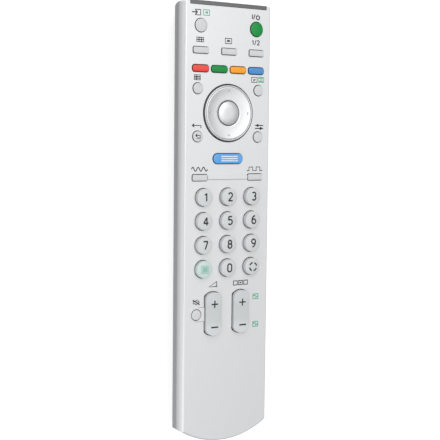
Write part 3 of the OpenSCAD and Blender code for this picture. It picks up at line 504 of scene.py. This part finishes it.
# Rounded rim and domed top of a key of radius r, from its upright side to its middle
def domedTop(r, top, crown, rim, rings=7, power=2):
    turn = math.radians(72)  # the rim's arc ends where the dome takes over
    steps = 5
    arcIn = rim * (1 - math.cos(turn))
    arcUp = rim * math.sin(turn)
    side = top - crown - arcUp
    points = []
    for i in range(steps + 1):
        a = turn * i / steps
        points.append((r - rim * (1 - math.cos(a)), side + rim * math.sin(a)))
    for i in range(1, rings + 1):
        share = 1 - i / (rings + 0.5)
        points.append(((r - arcIn) * share, top - crown * share**power))
    return points


keyBase = {"flangeOut": 0.6, "flangeLow": 21.1, "flangeHigh": 21.9, "stem": 1.3, "foot": 0.25}
flatKey = {"crown": 0.15, "rim": 0.18}
numberKey = {"crown": 0.35, "rim": 0.4}
roundKeys = {"power_key": {"crown": 0.2, "rim": 0.25}}
for nodeName in ("input_key", "guide_key", "info_key", "return_key", "tools_key", "mute_key"):
    roundKeys[nodeName] = flatKey
numberKeys = [f"key_{i}" for i in range(10)]
for nodeName in numberKeys + ["teletext_key", "recall_key"]:
    roundKeys[nodeName] = numberKey

keyPieces = {}
for nodeName, key in roundKeys.items():
    centre, size, low, top = keyBox(nodeName)
    r = size.x / 2 - keyBase["flangeOut"]
    profile = [
        (keyBase["stem"] - keyBase["foot"], low),
        (keyBase["stem"], low + keyBase["foot"]),
        (keyBase["stem"], keyBase["flangeLow"]),
        (r + keyBase["flangeOut"], keyBase["flangeLow"]),
        (r + keyBase["flangeOut"], keyBase["flangeHigh"]),
        (r, keyBase["flangeHigh"]),
        (r, faceZ),
    ] + domedTop(r, top, key["crown"], key["rim"])
    piece = turned(nodeName + "Cap", centre, profile)
    smoothShade(piece)
    keyPieces[nodeName] = standFor(piece, nodeName)
print("round keys turned:", len(roundKeys))

keyCuts = {"rim": 4, "bow": 15, "least": 6, "stem": 32}  # how finely a straight key is cut


# A straight-sided key: a rounded plate is extruded to a flange, inset to the key's side, rounded at the rim
# and cut above the flange to a grid that can be crowned across and dipped along
def moulded(name, nodeName, key):
    centre, size, low, top = keyBox(nodeName)
    out = keyBase["flangeOut"]
    corner = key["corner"] + out
    pickNone()
    bpy.ops.mesh.primitive_circle_add(
        vertices=key["arc"] * 4,
        radius=corner * mm,
        location=(centre.x * mm, centre.y * mm, key["flangeLow"] * mm),
        rotation=(0, 0, math.pi / 4 / key["arc"]),
        fill_type="NGON",
    )
    piece = settled(name)
    for sx in (-1, 1):  # the disc's four quarters move apart and become the plate's corners
        for sy in (-1, 1):
            spots = [(v.co.x / mm - centre.x, v.co.y / mm - centre.y) for v in piece.data.vertices]
            selectIn(piece, "VERT", [x * sx > 0 and y * sy > 0 for x, y in spots])
            apart = (sx * (size.x / 2 - corner) * mm, sy * (size.y / 2 - corner) * mm, 0)
            bpy.ops.transform.translate(value=apart)
            setMode("OBJECT")
    if "bow" in key:  # the ends are bowed to an arc
        xs = [v.co.x / mm - centre.x for v in piece.data.vertices]
        selectIn(piece, "EDGE", [xs[e.vertices[0]] * xs[e.vertices[1]] < 0 for e in piece.data.edges])
        bpy.ops.mesh.subdivide(number_cuts=keyCuts["bow"])
        setMode("OBJECT")
        bow = key["bow"] + out
        for v in piece.data.vertices:
            x, y = v.co.x / mm - centre.x, v.co.y / mm - centre.y
            if abs(y) > size.y / 2 - corner - near:
                v.co.y -= math.copysign(bow - math.sqrt(bow * bow - x * x), y) * mm
    startEdit(piece)
    up = key["flangeHigh"] - key["flangeLow"]
    bpy.ops.mesh.extrude_region_move(TRANSFORM_OT_translate={"value": (0, 0, up * mm)})
    bpy.ops.mesh.inset(thickness=out * mm)
    rim, steps = key["rim"], keyCuts["rim"]
    side = top - rim - key["flangeHigh"]
    bpy.ops.mesh.extrude_region_move(TRANSFORM_OT_translate={"value": (0, 0, side * mm)})
    for i in range(1, steps + 1):
        a, b = math.pi / 2 * (i - 1) / steps, math.pi / 2 * i / steps
        inward, upward = rim * (math.cos(a) - math.cos(b)), rim * (math.sin(b) - math.sin(a))
        bpy.ops.mesh.inset(thickness=inward * mm, depth=upward * mm)
    for axis, reach, middle in ((0, size.x / 2 - out, centre.x), (1, size.y / 2 - out, centre.y)):
        cuts = max(keyCuts["least"], round(2 * reach / key["grid"]))
        for i in range(1, cuts):
            at = [0, 0, 0]
            at[axis] = (middle + reach * (2 * i / cuts - 1)) * mm
            setMode("OBJECT")
            upper = [f.center.z / mm > key["flangeHigh"] + near for f in piece.data.polygons]
            selectIn(piece, "FACE", upper)
            bpy.ops.mesh.bisect(plane_co=at, plane_no=[float(axis == 0), float(axis == 1), 0.0])
    setMode("OBJECT")
    for v in piece.data.vertices:
        share = (v.co.z / mm - key["flangeHigh"]) / (top - key["flangeHigh"])
        if share > 0:
            x = (v.co.x / mm - centre.x) / (size.x / 2 - out)
            y = (v.co.y / mm - centre.y) / (size.y / 2 - out)
            if "dip" in key:
                fall = key["dip"] * (1 - y * y) + key["crown"] * x * x
            else:
                fall = key["crown"] * y * y
            v.co.z -= fall * share * mm
    startEdit(piece)
    bpy.ops.mesh.normals_make_consistent(inside=False)
    bpy.ops.mesh.select_all(action="DESELECT")
    for y in key["stems"]:
        bpy.ops.mesh.primitive_cylinder_add(
            vertices=keyCuts["stem"],
            radius=keyBase["stem"] * mm,
            depth=(key["flangeLow"] - low) * mm,
            location=(centre.x * mm, (centre.y + y) * mm, (key["flangeLow"] + low) / 2 * mm),
        )
    smoothShade(piece)
    return standFor(piece, nodeName)


flanges = {"flangeLow": keyBase["flangeLow"], "flangeHigh": keyBase["flangeHigh"]}
blockBase = {**flanges, "arc": 6, "stems": [0], "grid": 0.8}
modeKey = {**blockBase, "corner": 0.6, "rim": 0.18, "crown": 0.15}
colourKey = {**blockBase, "corner": 1.3, "arc": 8, "rim": 0.4, "crown": 0.2}
menuKey = {**blockBase, "corner": 2.45, "arc": 14, "rim": 0.45, "crown": 0.25}
rockerKey = {"flangeLow": 20.55, "flangeHigh": 21.15, "corner": 0.9, "bow": 6.2, "arc": 6}
rockerKey.update({"stems": [-6.9, 6.9], "rim": 0.35, "crown": 0.15, "dip": 0.8, "grid": 0.9})
straightKeys = {
    **{f"mode_key_{place}": modeKey for place in ("left", "middle", "right")},
    "analog_key": modeKey,
    "digital_key": modeKey,
    **{f"{colour}_key": colourKey for colour in ("red", "green", "yellow", "blue")},
    "menu_key": menuKey,
    "volume_rocker": rockerKey,
    "program_rocker": rockerKey,
}
for nodeName, key in straightKeys.items():
    keyPieces[nodeName] = moulded(nodeName + "Cap", nodeName, key)

# Painted shade: the rockers are darker between their ends and below the face
shadedRockerLook = {**looks[finishOf["volume_rocker"]], "name": "thumbWornKeyAbs", "skirt": (-0.4, 0.6, "#747679")}
shadedRockerLook["worn"] = {"at": keyBox("volume_rocker")[0].y, "full": 3, "none": 7.5, "colour": "#c5c9ca"}
shadedRockerFinish = plasticFinish(shadedRockerLook)
for nodeName in ("volume_rocker", "program_rocker"):
    dress(keyPieces[nodeName], shadedRockerFinish)

# The menu key is moulded in a clearer blue than the key in the colour row, keeping that look's painted
# shade round the rim
menuLook = {**looks[finishOf["menu_key"]], "name": "clearBlueAbs", "colour": "#5fa9ea", "dark": "#529de0"}
dress(keyPieces["menu_key"], plasticFinish(menuLook))

# Painted shade: the dark wall material goes on the flanges, and below the face on the walls that look up
# the case from below the ring
paintedShadeStop = {"depth": 1.5, "steep": 0.4}
for nodeName, piece in keyPieces.items():
    if nodeName in straightKeys:
        startEdit(piece)
        bpy.ops.mesh.bisect(plane_co=(0, 0, faceZ * mm), plane_no=(0, 0, 1))
        smoothShade(piece)
    piece.data.materials.append(paintedShadeWall)
    for polygon in piece.data.polygons:
        at, away = polygon.center, polygon.normal
        depth = faceZ - at.z / mm
        shadedUpWall = at.y < ringLow and away.y > paintedShadeStop["steep"] and depth > 0
        polygon.material_index = 1 if shadedUpWall or depth > paintedShadeStop["depth"] else 0
print("straight keys moulded:", len(straightKeys))

# Navigation ring: bevelled lip, fine groove, rounded crest and a dished band down to the bore
ringCentre = keyBox("nav_ring")[0]
ringShape = {"outer": 14.25, "bore": 6.35, "flange": 14.85, "flangeLow": 20.33, "flangeHigh": 20.93}
ringShape.update({"step": 11.05, "under": 20.88, "lip": 0.3, "crest": 1.0, "inner": 0.4, "boreEdge": 0.25})
ringShape.update({"dishSteps": 8, "bevelTo": 0.48, "groove": (0.96, 1.24), "marksAt": 11, "sides": 120})
outer, bore, under = ringShape["outer"], ringShape["bore"], ringShape["under"]
lipZ, crestZ, innerZ = (faceZ + ringShape[height] for height in ("lip", "crest", "inner"))
# steps inward from the outer wall with the height from the lip, then with the drop from the crest
lipSteps = [(0, -0.2), (0.03, -0.05), (0.12, 0.06)]
crestSteps = [(0.5, 0.24), (0.6, 0.19), (0.9, 0.17), (0.97, 0.22), (1.02, 0.4), (1.22, 0.4)]
crestSteps += [(1.3, 0.12), (1.42, 0.02), (1.6, 0), (1.8, 0.02)]
boreSteps = [(0.08, 0.06), (0, 0.22)]  # outward from the bore, with the drop from the dish's inner edge
ringProfile = [
    (bore, under),
    (ringShape["step"], under),
    (ringShape["step"], ringShape["flangeLow"]),
    (ringShape["flange"], ringShape["flangeLow"]),
    (ringShape["flange"], ringShape["flangeHigh"]),
    (outer, ringShape["flangeHigh"]),
]
ringProfile += [(outer - inward, lipZ + upward) for inward, upward in lipSteps]
ringProfile += [(outer - inward, crestZ - drop) for inward, drop in crestSteps]
(dishFrom, dishZ), dishTo = ringProfile[-1], bore + ringShape["boreEdge"]
for i in range(1, ringShape["dishSteps"] + 1):
    share = i / ringShape["dishSteps"]
    fall = (dishZ - innerZ) * (1 - (1 - share) ** 2)  # steep beside the crest, level at the bore
    ringProfile.append((dishFrom + (dishTo - dishFrom) * share, dishZ - fall))
ringProfile += [(bore + outward, innerZ - drop) for outward, drop in boreSteps] + [(bore, under)]
navRing = turned("navRingBand", ringCentre, ringProfile, ringShape["sides"], ring=True)
smoothShade(navRing)
standFor(navRing, "nav_ring")

# Painted shade: a dark bevel and a grey groove draw two dark lines round the ring, and its wall below takes
# the dark wall material
ringLook = looks[finishOf["nav_ring"]]
bevelShadeLook = {**ringLook, "name": "smokedSilverLacquer", "colour": "#68696c", "dark": "#626366"}
grooveShadeLook = {**ringLook, "name": "thinSilverLacquer", "colour": "#a9abad", "dark": "#a3a5a7"}
for look in (bevelShadeLook, grooveShadeLook):
    navRing.data.materials.append(plasticFinish(look))
navRing.data.materials.append(paintedShadeWall)
grooveFrom, grooveTo = ringShape["groove"]
for polygon in navRing.data.polygons:
    inward = outer - (polygon.center.xy / mm - ringCentre.xy).length
    if inward < ringShape["bevelTo"]:
        polygon.material_index = 1 if polygon.center.z > faceZ * mm else 3
    elif grooveFrom < inward < grooveTo:
        polygon.material_index = 2

# Middle key: duller than the ring, so its dome shades gently
okShape = {"crown": 0.7, "rim": 0.45, "power": 4, "rings": 12, "foot": 0.2, "sides": 96}
centre, size, low, top = keyBox("ok_key")
r, rise = size.x / 2, okShape["foot"]
okProfile = [(r - rise, low), (r, low + rise)]
okProfile += domedTop(r, top, okShape["crown"], okShape["rim"], okShape["rings"], okShape["power"])
okPiece = turned("okKeyCap", centre, okProfile, okShape["sides"])
smoothShade(okPiece)
keyPieces["ok_key"] = standFor(okPiece, "ok_key")
okLook = {**looks[finishOf["ok_key"]], "name": "satinSilverLacquer", "roughness": (0.36, 0.42)}
okLook.update({"colour": "#dfe0e1", "dark": "#dadbdc"})
dress(okPiece, plasticFinish(okLook))

# Silicone cushion under the ring, with edges as rounded as a rubber mould leaves them
cushion = {"bore": 7.55, "soft": 0.4, "steps": 3, "sides": 96, "smooth": 50}
centre, size, low, top = keyBox("nav_cushion")
wide, bore, soft, steps = size.x / 2, cushion["bore"], cushion["soft"], cushion["steps"]
corners = [(bore, low, 1, 1), (wide, low, -1, 1), (wide, top, -1, -1), (bore, top, 1, -1)]
cushionProfile = []
for i, (r, z, inward, upward) in enumerate(corners):
    for step in range(steps + 1):
        a = math.radians(90 / steps * (step if i % 2 else steps - step))
        across, along = inward * soft * (1 - math.sin(a)), upward * soft * (1 - math.cos(a))
        cushionProfile.append((r + across, z + along))
cushionProfile.append(cushionProfile[0])
cushionRing = turned("navCushionRing", centre, cushionProfile, cushion["sides"], ring=True)
smoothShade(cushionRing, cushion["smooth"])
standFor(cushionRing, "nav_cushion")
print("ring, middle key and cushion turned")

# Cells: a steel can with a rolled shoulder and a button, in a printed sleeve that leaves the ends bare
cell = {"edge": 0.5, "seat": 0.3, "button": 2.7, "buttonHigh": 1.2, "lip": 0.4, "sleeveIn": 0.6}
cell.update({"bandLong": 9, "crimp": 0.05, "round": 0.3, "tip": 0.2})
bandLook = {**looks["cell_can"], "name": "paleCellSleeve", "colour": "#c9ccd0", "dark": "#bfc2c6"}
cellFinishes = [finishes["cell_can"], plasticFinish(bandLook), finishes["contact_plate"]]
for nodeName, turn in (("battery_1", -90), ("battery_2", 90)):
    centre, size = keyBox(nodeName)[:2]
    r, long, e = size.x / 2, size.y, cell["edge"]
    button, lip, part = cell["button"], cell["lip"], cell["round"]
    can = long - cell["buttonHigh"]
    sleeveEnd, bandFrom = can - cell["sleeveIn"], can - cell["bandLong"]
    profile = [
        (r - 3 * e, cell["seat"]),
        (r - 2 * e, cell["crimp"]),
        (r - e, 0),
        (r - part * e, part * e),
        (r, e),
        (r, cell["sleeveIn"]),
        (r, bandFrom),
        (r, sleeveEnd),
        (r, can - e),
        (r - part * e, can - part * e),
        (r - e, can),
        (r - 2 * e, can - cell["seat"]),
        (button + lip, can - cell["seat"]),
        (button, can),
        (button, long - lip),
        (button - part * lip, long - part * lip),
        (button - lip, long),
        (cell["tip"], long),
    ]
    piece = turned(nodeName + "Cell", (0, 0), profile)
    smoothShade(piece)
    standFor(piece, nodeName)
    piece.data.materials.clear()
    for material in cellFinishes:
        piece.data.materials.append(material)
    for polygon in piece.data.polygons:
        at = polygon.center.z / mm
        bare = at < cell["sleeveIn"] or at > sleeveEnd
        polygon.material_index = 2 if bare else int(at > bandFrom)
    piece.rotation_euler.x = math.radians(turn)
    piece.location = Vector((centre.x, centre.y - math.copysign(long / 2, -turn), centre.z)) * mm
    applyPlace(piece)
print("cells wrapped")


# Signs drawn as strokes: each stroke is a list of points in millimetres from the sign's middle
def ovalPoints(rx, ry, first=0, last=360, x=0, y=0):
    steps = max(6, int(abs(last - first) / 15))
    angles = [math.radians(first + (last - first) * i / steps) for i in range(steps + 1)]
    return [(x + rx * math.cos(a), y + ry * math.sin(a)) for a in angles]


def circlePoints(r, first=0, last=360, x=0, y=0):
    return ovalPoints(r, r, first, last, x, y)


def boxPoints(w, h, x=0, y=0):
    left, right, low, high = x - w / 2, x + w / 2, y - h / 2, y + h / 2
    return [(left, low), (right, low), (right, high), (left, high), (left, low)]


def barPoints(w, x=0, y=0):
    return [(x - w / 2, y), (x + w / 2, y)]


def wavePoints(w, h, turns):
    return [(w * (i / 40 - 0.5), h / 2 * math.sin(2 * math.pi * turns * i / 40)) for i in range(41)]


def sign(line, *strokes):
    return {"line": line, "strokes": list(strokes)}


signs = {
    "sourceBox": sign(
        0.55,
        [(-0.6, 0.8), (-0.6, 1.3), (2.3, 1.3), (2.3, -1.3), (-0.6, -1.3), (-0.6, -0.8)],
        barPoints(2.9, -1.1),
        [(-0.4, 0.8), (0.6, 0), (-0.4, -0.8)],
    ),
    "dotSquare": sign(0.55, boxPoints(3.5, 2.6), barPoints(1.5), [(0.1, 0.6), (0.7, 0), (0.1, -0.6)]),
    "standby": sign(
        0.55,
        [(-2.1, -1.1), (-2.1, 1.2)],
        [(-1.4, -1.2), (-0.5, 1.3)],
        circlePoints(1.0, 120, 420, 1.2, -0.2),
        [(1.2, 0.2), (1.2, 1.2)],
    ),
    "filmStrip": sign(
        0.5, boxPoints(3.9, 2.1), barPoints(3.9), [(-0.7, -1), (-0.7, 1)], [(0.7, -1), (0.7, 1)]
    ),
    "screen": sign(0.5, boxPoints(3.7, 2.5), barPoints(1.9, 0, -0.15), barPoints(1.5, 0, 0.3)),
    "listPage": sign(
        0.48,
        boxPoints(3.4, 2.4),
        barPoints(3.3, 0, 0.4),
        barPoints(3.3, 0, -0.4),
        [(-0.4, -1.1), (-0.4, 1.1)],
    ),
    "infoPage": sign(0.48, boxPoints(3.4, 2.5), barPoints(1.5, 0.1, 0.1), barPoints(0.8, -0.2, -0.5)),
    "mintPage": sign(
        0.5, boxPoints(3.3, 2.5), barPoints(2.6, 0, 0.75), barPoints(2.6, 0, -0.75), [(0, 0.6), (0, -0.6)]
    ),
    "backArrow": sign(
        0.52, [(2.5, -0.9), (2.5, 0.4), (-2.3, 0.4)], [(-1.3, 1.2), (-2.5, 0.4), (-1.3, -0.4)]
    ),
    "sliders": sign(
        0.5,
        barPoints(5, 0, 0.75),
        barPoints(5, 0, -0.75),
        circlePoints(0.45, 0, 360, -0.9, 0.75),
        circlePoints(0.45, 0, 360, 1.0, -0.75),
    ),
    "sineWave": sign(0.52, wavePoints(9.2, 2.0, 3)),
    "squareWave": sign(
        0.52,
        [(-4.6, -0.9), (-3.4, -0.9), (-3.4, 0.9), (-1.2, 0.9), (-1.2, -0.9), (1.0, -0.9)]
        + [(1.0, 0.9), (3.2, 0.9), (3.2, -0.9), (4.6, -0.9)],
    ),
    "wedge": sign(0.68, [(-2.3, -1.2), (2.2, 1.3), (2.2, -1.2), (-2.3, -1.2)]),
    "pages": sign(
        0.62, boxPoints(2.3, 2.1, -3.1), boxPoints(2.3, 2.1), boxPoints(2.3, 2.1, 3.1), barPoints(1.1)
    ),
    "muted": sign(
        0.55,
        [(-1.7, -0.6), (-0.8, -0.6), (0.5, -1.3), (0.5, 1.3), (-0.8, 0.6), (-1.7, 0.6), (-1.7, -0.6)],
        [(-2.0, 1.3), (2.0, -1.3)],
        [(1.2, 0.8), (1.6, 0), (1.2, -0.8)],
    ),
    "pageCorner": sign(
        0.62, boxPoints(3.1, 2.5), [(0.3, -1.2), (0.3, -0.2), (1.5, -0.2)], barPoints(1.6, -0.6, 0.45)
    ),
    "plus": sign(0.72, barPoints(3.8), [(0, -1.9), (0, 1.9)]),
    "minus": sign(0.78, barPoints(4.1)),
    "textPage": sign(0.5, boxPoints(3.9, 3.7), *(barPoints(2.9, 0, 0.45 * (i - 2.5)) for i in range(6))),
    "fourArcs": sign(0.8, *(circlePoints(2.1, 90 * i + 8, 90 * i + 68) for i in range(4))),
    "turnBack": sign(
        0.5,
        [(-1.3, 0.5), (1.2, 0.5), (1.2, -0.8), (-0.7, -0.8)],
        [(-0.6, 1.2), (-1.4, 0.5), (-0.6, -0.2)],
    ),
    "menuBars": sign(0.58, *(barPoints(9.6, 0, 1.1 * i) for i in (-1, 0, 1))),
    "ringDot": sign(0.5, [(-0.55, -0.25), (0, 0.4), (0.55, -0.25)]),
}
# Plain figures, their strokes ending where a printed figure's would
figures = [
    [circlePoints(1.05, 0, 180, 0, 0.75) + circlePoints(1.05, 180, 360, 0, -0.75) + [(1.05, 0.75)]],
    [[(0.25, -1.8), (0.25, 1.8)], [(-0.75, 1.0), (0.3, 1.65)]],
    [circlePoints(1.0, 165, -38, 0, 0.8) + [(-0.95, -1.75)], barPoints(2.3, 0.05, -1.8)],
    [circlePoints(0.92, 150, -90, -0.05, 0.88), circlePoints(0.98, 90, -150, -0.05, -0.84)],
    [[(0.5, -1.8), (0.5, 1.8)], [(0.45, 1.75), (-1.15, -0.8)], barPoints(2.5, 0.05, -0.8)],
    [barPoints(1.75, 0.1, 1.8), [(-0.7, 1.8), (-0.92, 0.1)], circlePoints(1.12, 140, -145, -0.06, -0.66)],
    [circlePoints(1.03, 0, 360, 0, -0.76), ovalPoints(1.4, 2.4, 180, 78, 0.37, -0.66)],
    [barPoints(2.3, 0, 1.8), [(1.05, 1.7), (-0.3, -1.8)]],
    [circlePoints(0.85, 0, 360, 0, 0.94), circlePoints(1.0, 0, 360, 0, -0.8)],
    [circlePoints(1.03, 0, 360, 0, 0.76), ovalPoints(1.4, 2.4, 0, -102, -0.37, 0.66)],
]
figure = {"line": 0.78, "size": 1.1, "dx": 0.25, "dy": 0.1}
film = {"thick": 0.05, "proud": 0.03, "grid": 0.6}  # ink, and the grid that lets it bend over a crowned key
inkLift = film["proud"] - film["thick"] / 2


def scaled(strokes, size, dx=0):
    return [[(x * size + dx, y * size) for x, y in stroke] for stroke in strokes]


def capital(word):
    return word[0].upper() + word[1:]


# Strokes as flattened tubes, in one mesh that lies on the plane z = 0
def drawStrokes(name, drawn, x, y, turn=0):
    curve = bpy.data.curves.new(name, "CURVE")
    curve.dimensions = "3D"
    curve.bevel_depth = drawn["line"] / 2 * mm
    curve.bevel_resolution = 1
    curve.use_fill_caps = True
    for stroke in drawn["strokes"]:
        closed = math.dist(stroke[0], stroke[-1]) < hair
        points = stroke[:-1] if closed else stroke
        spline = curve.splines.new("POLY")
        spline.points.add(len(points) - 1)
        spline.use_cyclic_u = closed
        for p, (px, py) in zip(spline.points, points):
            p.co = (px * mm, py * mm, 0, 1)
    mark = bpy.data.objects.new(name, curve)
    bpy.context.scene.collection.objects.link(mark)
    pick(mark)
    bpy.ops.object.convert(target="MESH")
    mark = bpy.context.object
    mark.rotation_euler.z = math.radians(turn)
    mark.location = (x * mm, y * mm, 0)
    mark.scale.z = film["thick"] / drawn["line"]
    applyPlace(mark)
    return mark


# Cuts a sign to a grid and lets each point down onto the piece it is printed on
def lieOn(mark, target):
    low = [min(v.co[i] for v in mark.data.vertices) / mm for i in range(2)]
    high = [max(v.co[i] for v in mark.data.vertices) / mm for i in range(2)]
    startEdit(mark)
    for axis in (0, 1):
        normal = (1, 0, 0) if axis == 0 else (0, 1, 0)
        cuts = int((high[axis] - low[axis]) / film["grid"])
        for i in range(cuts):
            at = low[axis] + (high[axis] - low[axis]) * (i + 0.5) / cuts
            bpy.ops.mesh.select_all(action="SELECT")
            bpy.ops.mesh.bisect(plane_co=[c * at * mm for c in normal], plane_no=normal)
    setMode("OBJECT")
    for v in mark.data.vertices:
        hit, point = target.ray_cast(Vector((v.co.x, v.co.y, 1)), Vector((0, 0, -1)))[:2]
        v.co.z += (point.z if hit else faceZ * mm) + inkLift * mm


def printOn(mark, shade, body):
    dress(mark, inks[shade])
    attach(mark, body)


for nodeName, strokes in zip(numberKeys, figures):
    centre = keyBox(nodeName)[0]
    drawn = sign(figure["line"], *scaled(strokes, figure["size"]))
    digit = drawStrokes(nodeName + "Digit", drawn, centre.x + figure["dx"], centre.y + figure["dy"])
    lieOn(digit, keyPieces[nodeName])
    printOn(digit, "dark", nodeName)

# Key, sign, ink, and the sign's place from the key's middle
keySigns = [
    ("teletext_key", "textPage", "paleMint", 0, 0),
    ("recall_key", "fourArcs", "dark", 0.2, -0.1),
    ("return_key", "turnBack", "dark", 0.1, 0),
    ("menu_key", "menuBars", "white", 0.6, 0),
    ("volume_rocker", "plus", "dark", 0.3, 4.9),
    ("volume_rocker", "minus", "dark", 0.3, -6.8),
    ("program_rocker", "plus", "dark", 0.4, 4.8),
    ("program_rocker", "minus", "dark", 0.6, -6.9),
]
for nodeName, signName, shade, dx, dy in keySigns:
    centre = keyBox(nodeName)[0]
    mark = drawStrokes(nodeName + capital(signName), signs[signName], centre.x + dx, centre.y + dy)
    lieOn(mark, keyPieces[nodeName])
    printOn(mark, shade, nodeName)

for i, direction in enumerate(("Up", "Left", "Down", "Right")):
    a, r = math.radians(90 + 90 * i), ringShape["marksAt"]
    x, y = ringCentre.x + r * math.cos(a), ringCentre.y + r * math.sin(a)
    mark = drawStrokes("ring" + direction, signs["ringDot"], x, y, 90 * i)
    lieOn(mark, navRing)
    printOn(mark, "faint", "nav_ring")

# Two small figures with a stroke between them
choice = {"line": 0.48, "size": 0.6, "left": -1.7, "right": 1.5}
pair = scaled(figures[1], choice["size"], choice["left"])
pair += scaled(figures[2], choice["size"], choice["right"])
signs["choice"] = sign(choice["line"], *pair, [(-0.7, -1.2), (0.2, 1.3)])
# Sign, ink and place on the face
faceSigns = [
    ("sourceBox", "dark", -18.7, 104.9),
    ("dotSquare", "mint", -13.1, 105.05),
    ("standby", "dark", 15.8, 104.9),
    ("filmStrip", "dark", -16.5, 91.8),
    ("screen", "dark", -0.3, 92.0),
    ("choice", "dark", 15.9, 92.1),
    ("listPage", "dark", -18.0, 73.4),
    ("infoPage", "dark", 15.3, 73.4),
    ("mintPage", "mint", 19.4, 73.6),
    ("backArrow", "dark", -18.2, 49.5),
    ("sliders", "dark", 18.6, 49.7),
    ("sineWave", "dark", -16.3, 28.35),
    ("squareWave", "dark", 16.2, 28.35),
    ("wedge", "dark", -7.9, -29.7),
    ("pages", "dark", 8.5, -29.9),
    ("muted", "dark", -17.5, -38.2),
    ("pageCorner", "mint", 17.8, -37.7),
    ("pageCorner", "mint", 17.9, -52.2),
]
for i, (signName, shade, x, y) in enumerate(faceSigns):
    mark = drawStrokes(f"face{capital(signName)}{i}", signs[signName], x, y)
    for v in mark.data.vertices:
        v.co.z += (faceZ + inkLift) * mm
    printOn(mark, shade, "case")
print("signs printed")

# The camera stands where the photograph was taken from
camera = {"lensMm": 79.82, "sensorMm": 36, "yaw": 31.12, "pitch": 4.852, "roll": -0.601}
camera["target"] = Vector((0, 1.37, 24))
camera["offset"] = Vector((3.532, -1.21, 493.38))
yaw, pitch, roll = (math.radians(camera[k]) for k in ("yaw", "pitch", "roll"))
level = Vector((math.cos(yaw), 0, math.sin(yaw)))
upright = Vector((math.sin(pitch) * math.sin(yaw), math.cos(pitch), -math.sin(pitch) * math.cos(yaw)))
forward = Vector((math.cos(pitch) * math.sin(yaw), -math.sin(pitch), -math.cos(pitch) * math.cos(yaw)))
right = math.cos(roll) * level - math.sin(roll) * upright
up = math.sin(roll) * level + math.cos(roll) * upright
offset = camera["offset"]
stand = (camera["target"] - offset.x * right - offset.y * up - offset.z * forward) * mm
pickNone()
bpy.ops.object.camera_add()
viewer = bpy.context.object
viewer.data.lens = camera["lensMm"]
viewer.data.sensor_width = camera["sensorMm"]
viewer.matrix_world = Matrix.Translation(stand) @ Matrix((right, up, -forward)).transposed().to_4x4()
bpy.context.scene.camera = viewer
bpy.context.scene.view_settings.view_transform = "Standard"


# Paper: a little light of its own lifts it to white for the eye, and it keeps the soft shadow
def paperLook(name, colour, lift):
    paper = bpy.data.materials.new(name)
    paper.use_nodes = True
    tree = paper.node_tree
    tree.nodes.clear()
    sheet = addNode(tree, "ShaderNodeBsdfDiffuse", {"Color": linear(colour)})
    path = addNode(tree, "ShaderNodeLightPath").outputs
    seen = path["Is Camera Ray"]
    for ray in ("Is Glossy Ray", "Is Transmission Ray"):
        seen = addNode(tree, "ShaderNodeMath", {"operation": "MAXIMUM"}, {0: seen, 1: path[ray]}).outputs[0]
    raised = addNode(tree, "ShaderNodeMath", {"operation": "MULTIPLY", 1: lift}, {0: seen})
    glow = addNode(tree, "ShaderNodeEmission", links={"Strength": raised.outputs[0]})
    both = addNode(tree, "ShaderNodeAddShader", links={0: sheet.outputs[0], 1: glow.outputs[0]})
    addNode(tree, "ShaderNodeOutputMaterial", links={"Surface": both.outputs[0]})
    return paper


# Floor just under the part, and a low wall far round it that closes the horizon
studio = {"size": 16, "low": 0.05, "colour": "#b4b4b4", "floorLift": 0.74}
studio.update({"wallHigh": 0.9, "wallSides": 96, "wallLift": 0.95})
pickNone()
bpy.ops.mesh.primitive_plane_add(size=studio["size"], location=(0, 0, -studio["low"] * mm))
floor = bpy.context.object
floor.name = "studioFloor"
pickNone()
bpy.ops.mesh.primitive_cylinder_add(
    vertices=studio["wallSides"],
    radius=studio["size"] / 2,
    depth=studio["wallHigh"],
    end_fill_type="NOTHING",
    location=(0, 0, studio["wallHigh"] / 2 - studio["low"] * mm),
)
wall = bpy.context.object
wall.name = "studioWall"
for backdrop, name, lift in ((floor, "whitePaper", "floorLift"), (wall, "whiteWallPaper", "wallLift")):
    dress(backdrop, paperLook(name, studio["colour"], studio[lift]))

# A wide soft box overhead in a dim room: full inside its near angle from the middle, gone at its far one
softBox = {"lean": Vector((-0.14, 0.25, 1)), "near": 15, "far": 60, "full": 1.55, "dim": 0.28}
world = bpy.data.worlds.new("studioRoom")
bpy.context.scene.world = world
world.use_nodes = True
tree = world.node_tree
tree.nodes.clear()
direction = addNode(tree, "ShaderNodeTexCoord").outputs["Generated"]
axis = {"operation": "DOT_PRODUCT", 1: softBox["lean"].normalized()}
lean = addNode(tree, "ShaderNodeVectorMath", axis, {0: direction})
farCos, nearCos = (math.cos(math.radians(softBox[k])) for k in ("far", "near"))
edge = {"interpolation_type": "SMOOTHSTEP", "From Min": farCos, "From Max": nearCos}
edge.update({"To Min": softBox["dim"], "To Max": softBox["full"]})
strength = addNode(tree, "ShaderNodeMapRange", edge, {"Value": lean.outputs["Value"]})
bright = {"Strength": strength.outputs["Result"]}
sky = addNode(tree, "ShaderNodeBackground", {"Color": (1, 1, 1, 1)}, bright)
addNode(tree, "ShaderNodeOutputWorld", links={"Surface": sky.outputs["Background"]})

# A wide lamp above the emitter end, and a weaker low one beside the tail, both broad so nothing burns out
lamps = {
    "endLamp": {"at": Vector((-0.06, 0.28, 0.34)), "size": 0.6, "power": 0.55},
    "sideLamp": {"at": Vector((-0.2, -0.2, 0.1)), "size": 0.25, "power": 0.2},
}
for lampName, lampLook in lamps.items():
    pickNone()
    bpy.ops.object.light_add(type="AREA", location=lampLook["at"])
    lamp = bpy.context.object
    lamp.name = lampName
    lamp.data.size = lampLook["size"]
    lamp.data.energy = lampLook["power"]
    lamp.rotation_euler = (-lampLook["at"]).to_track_quat("-Z", "Y").to_euler()
print("studio lit")

print("scene ready")
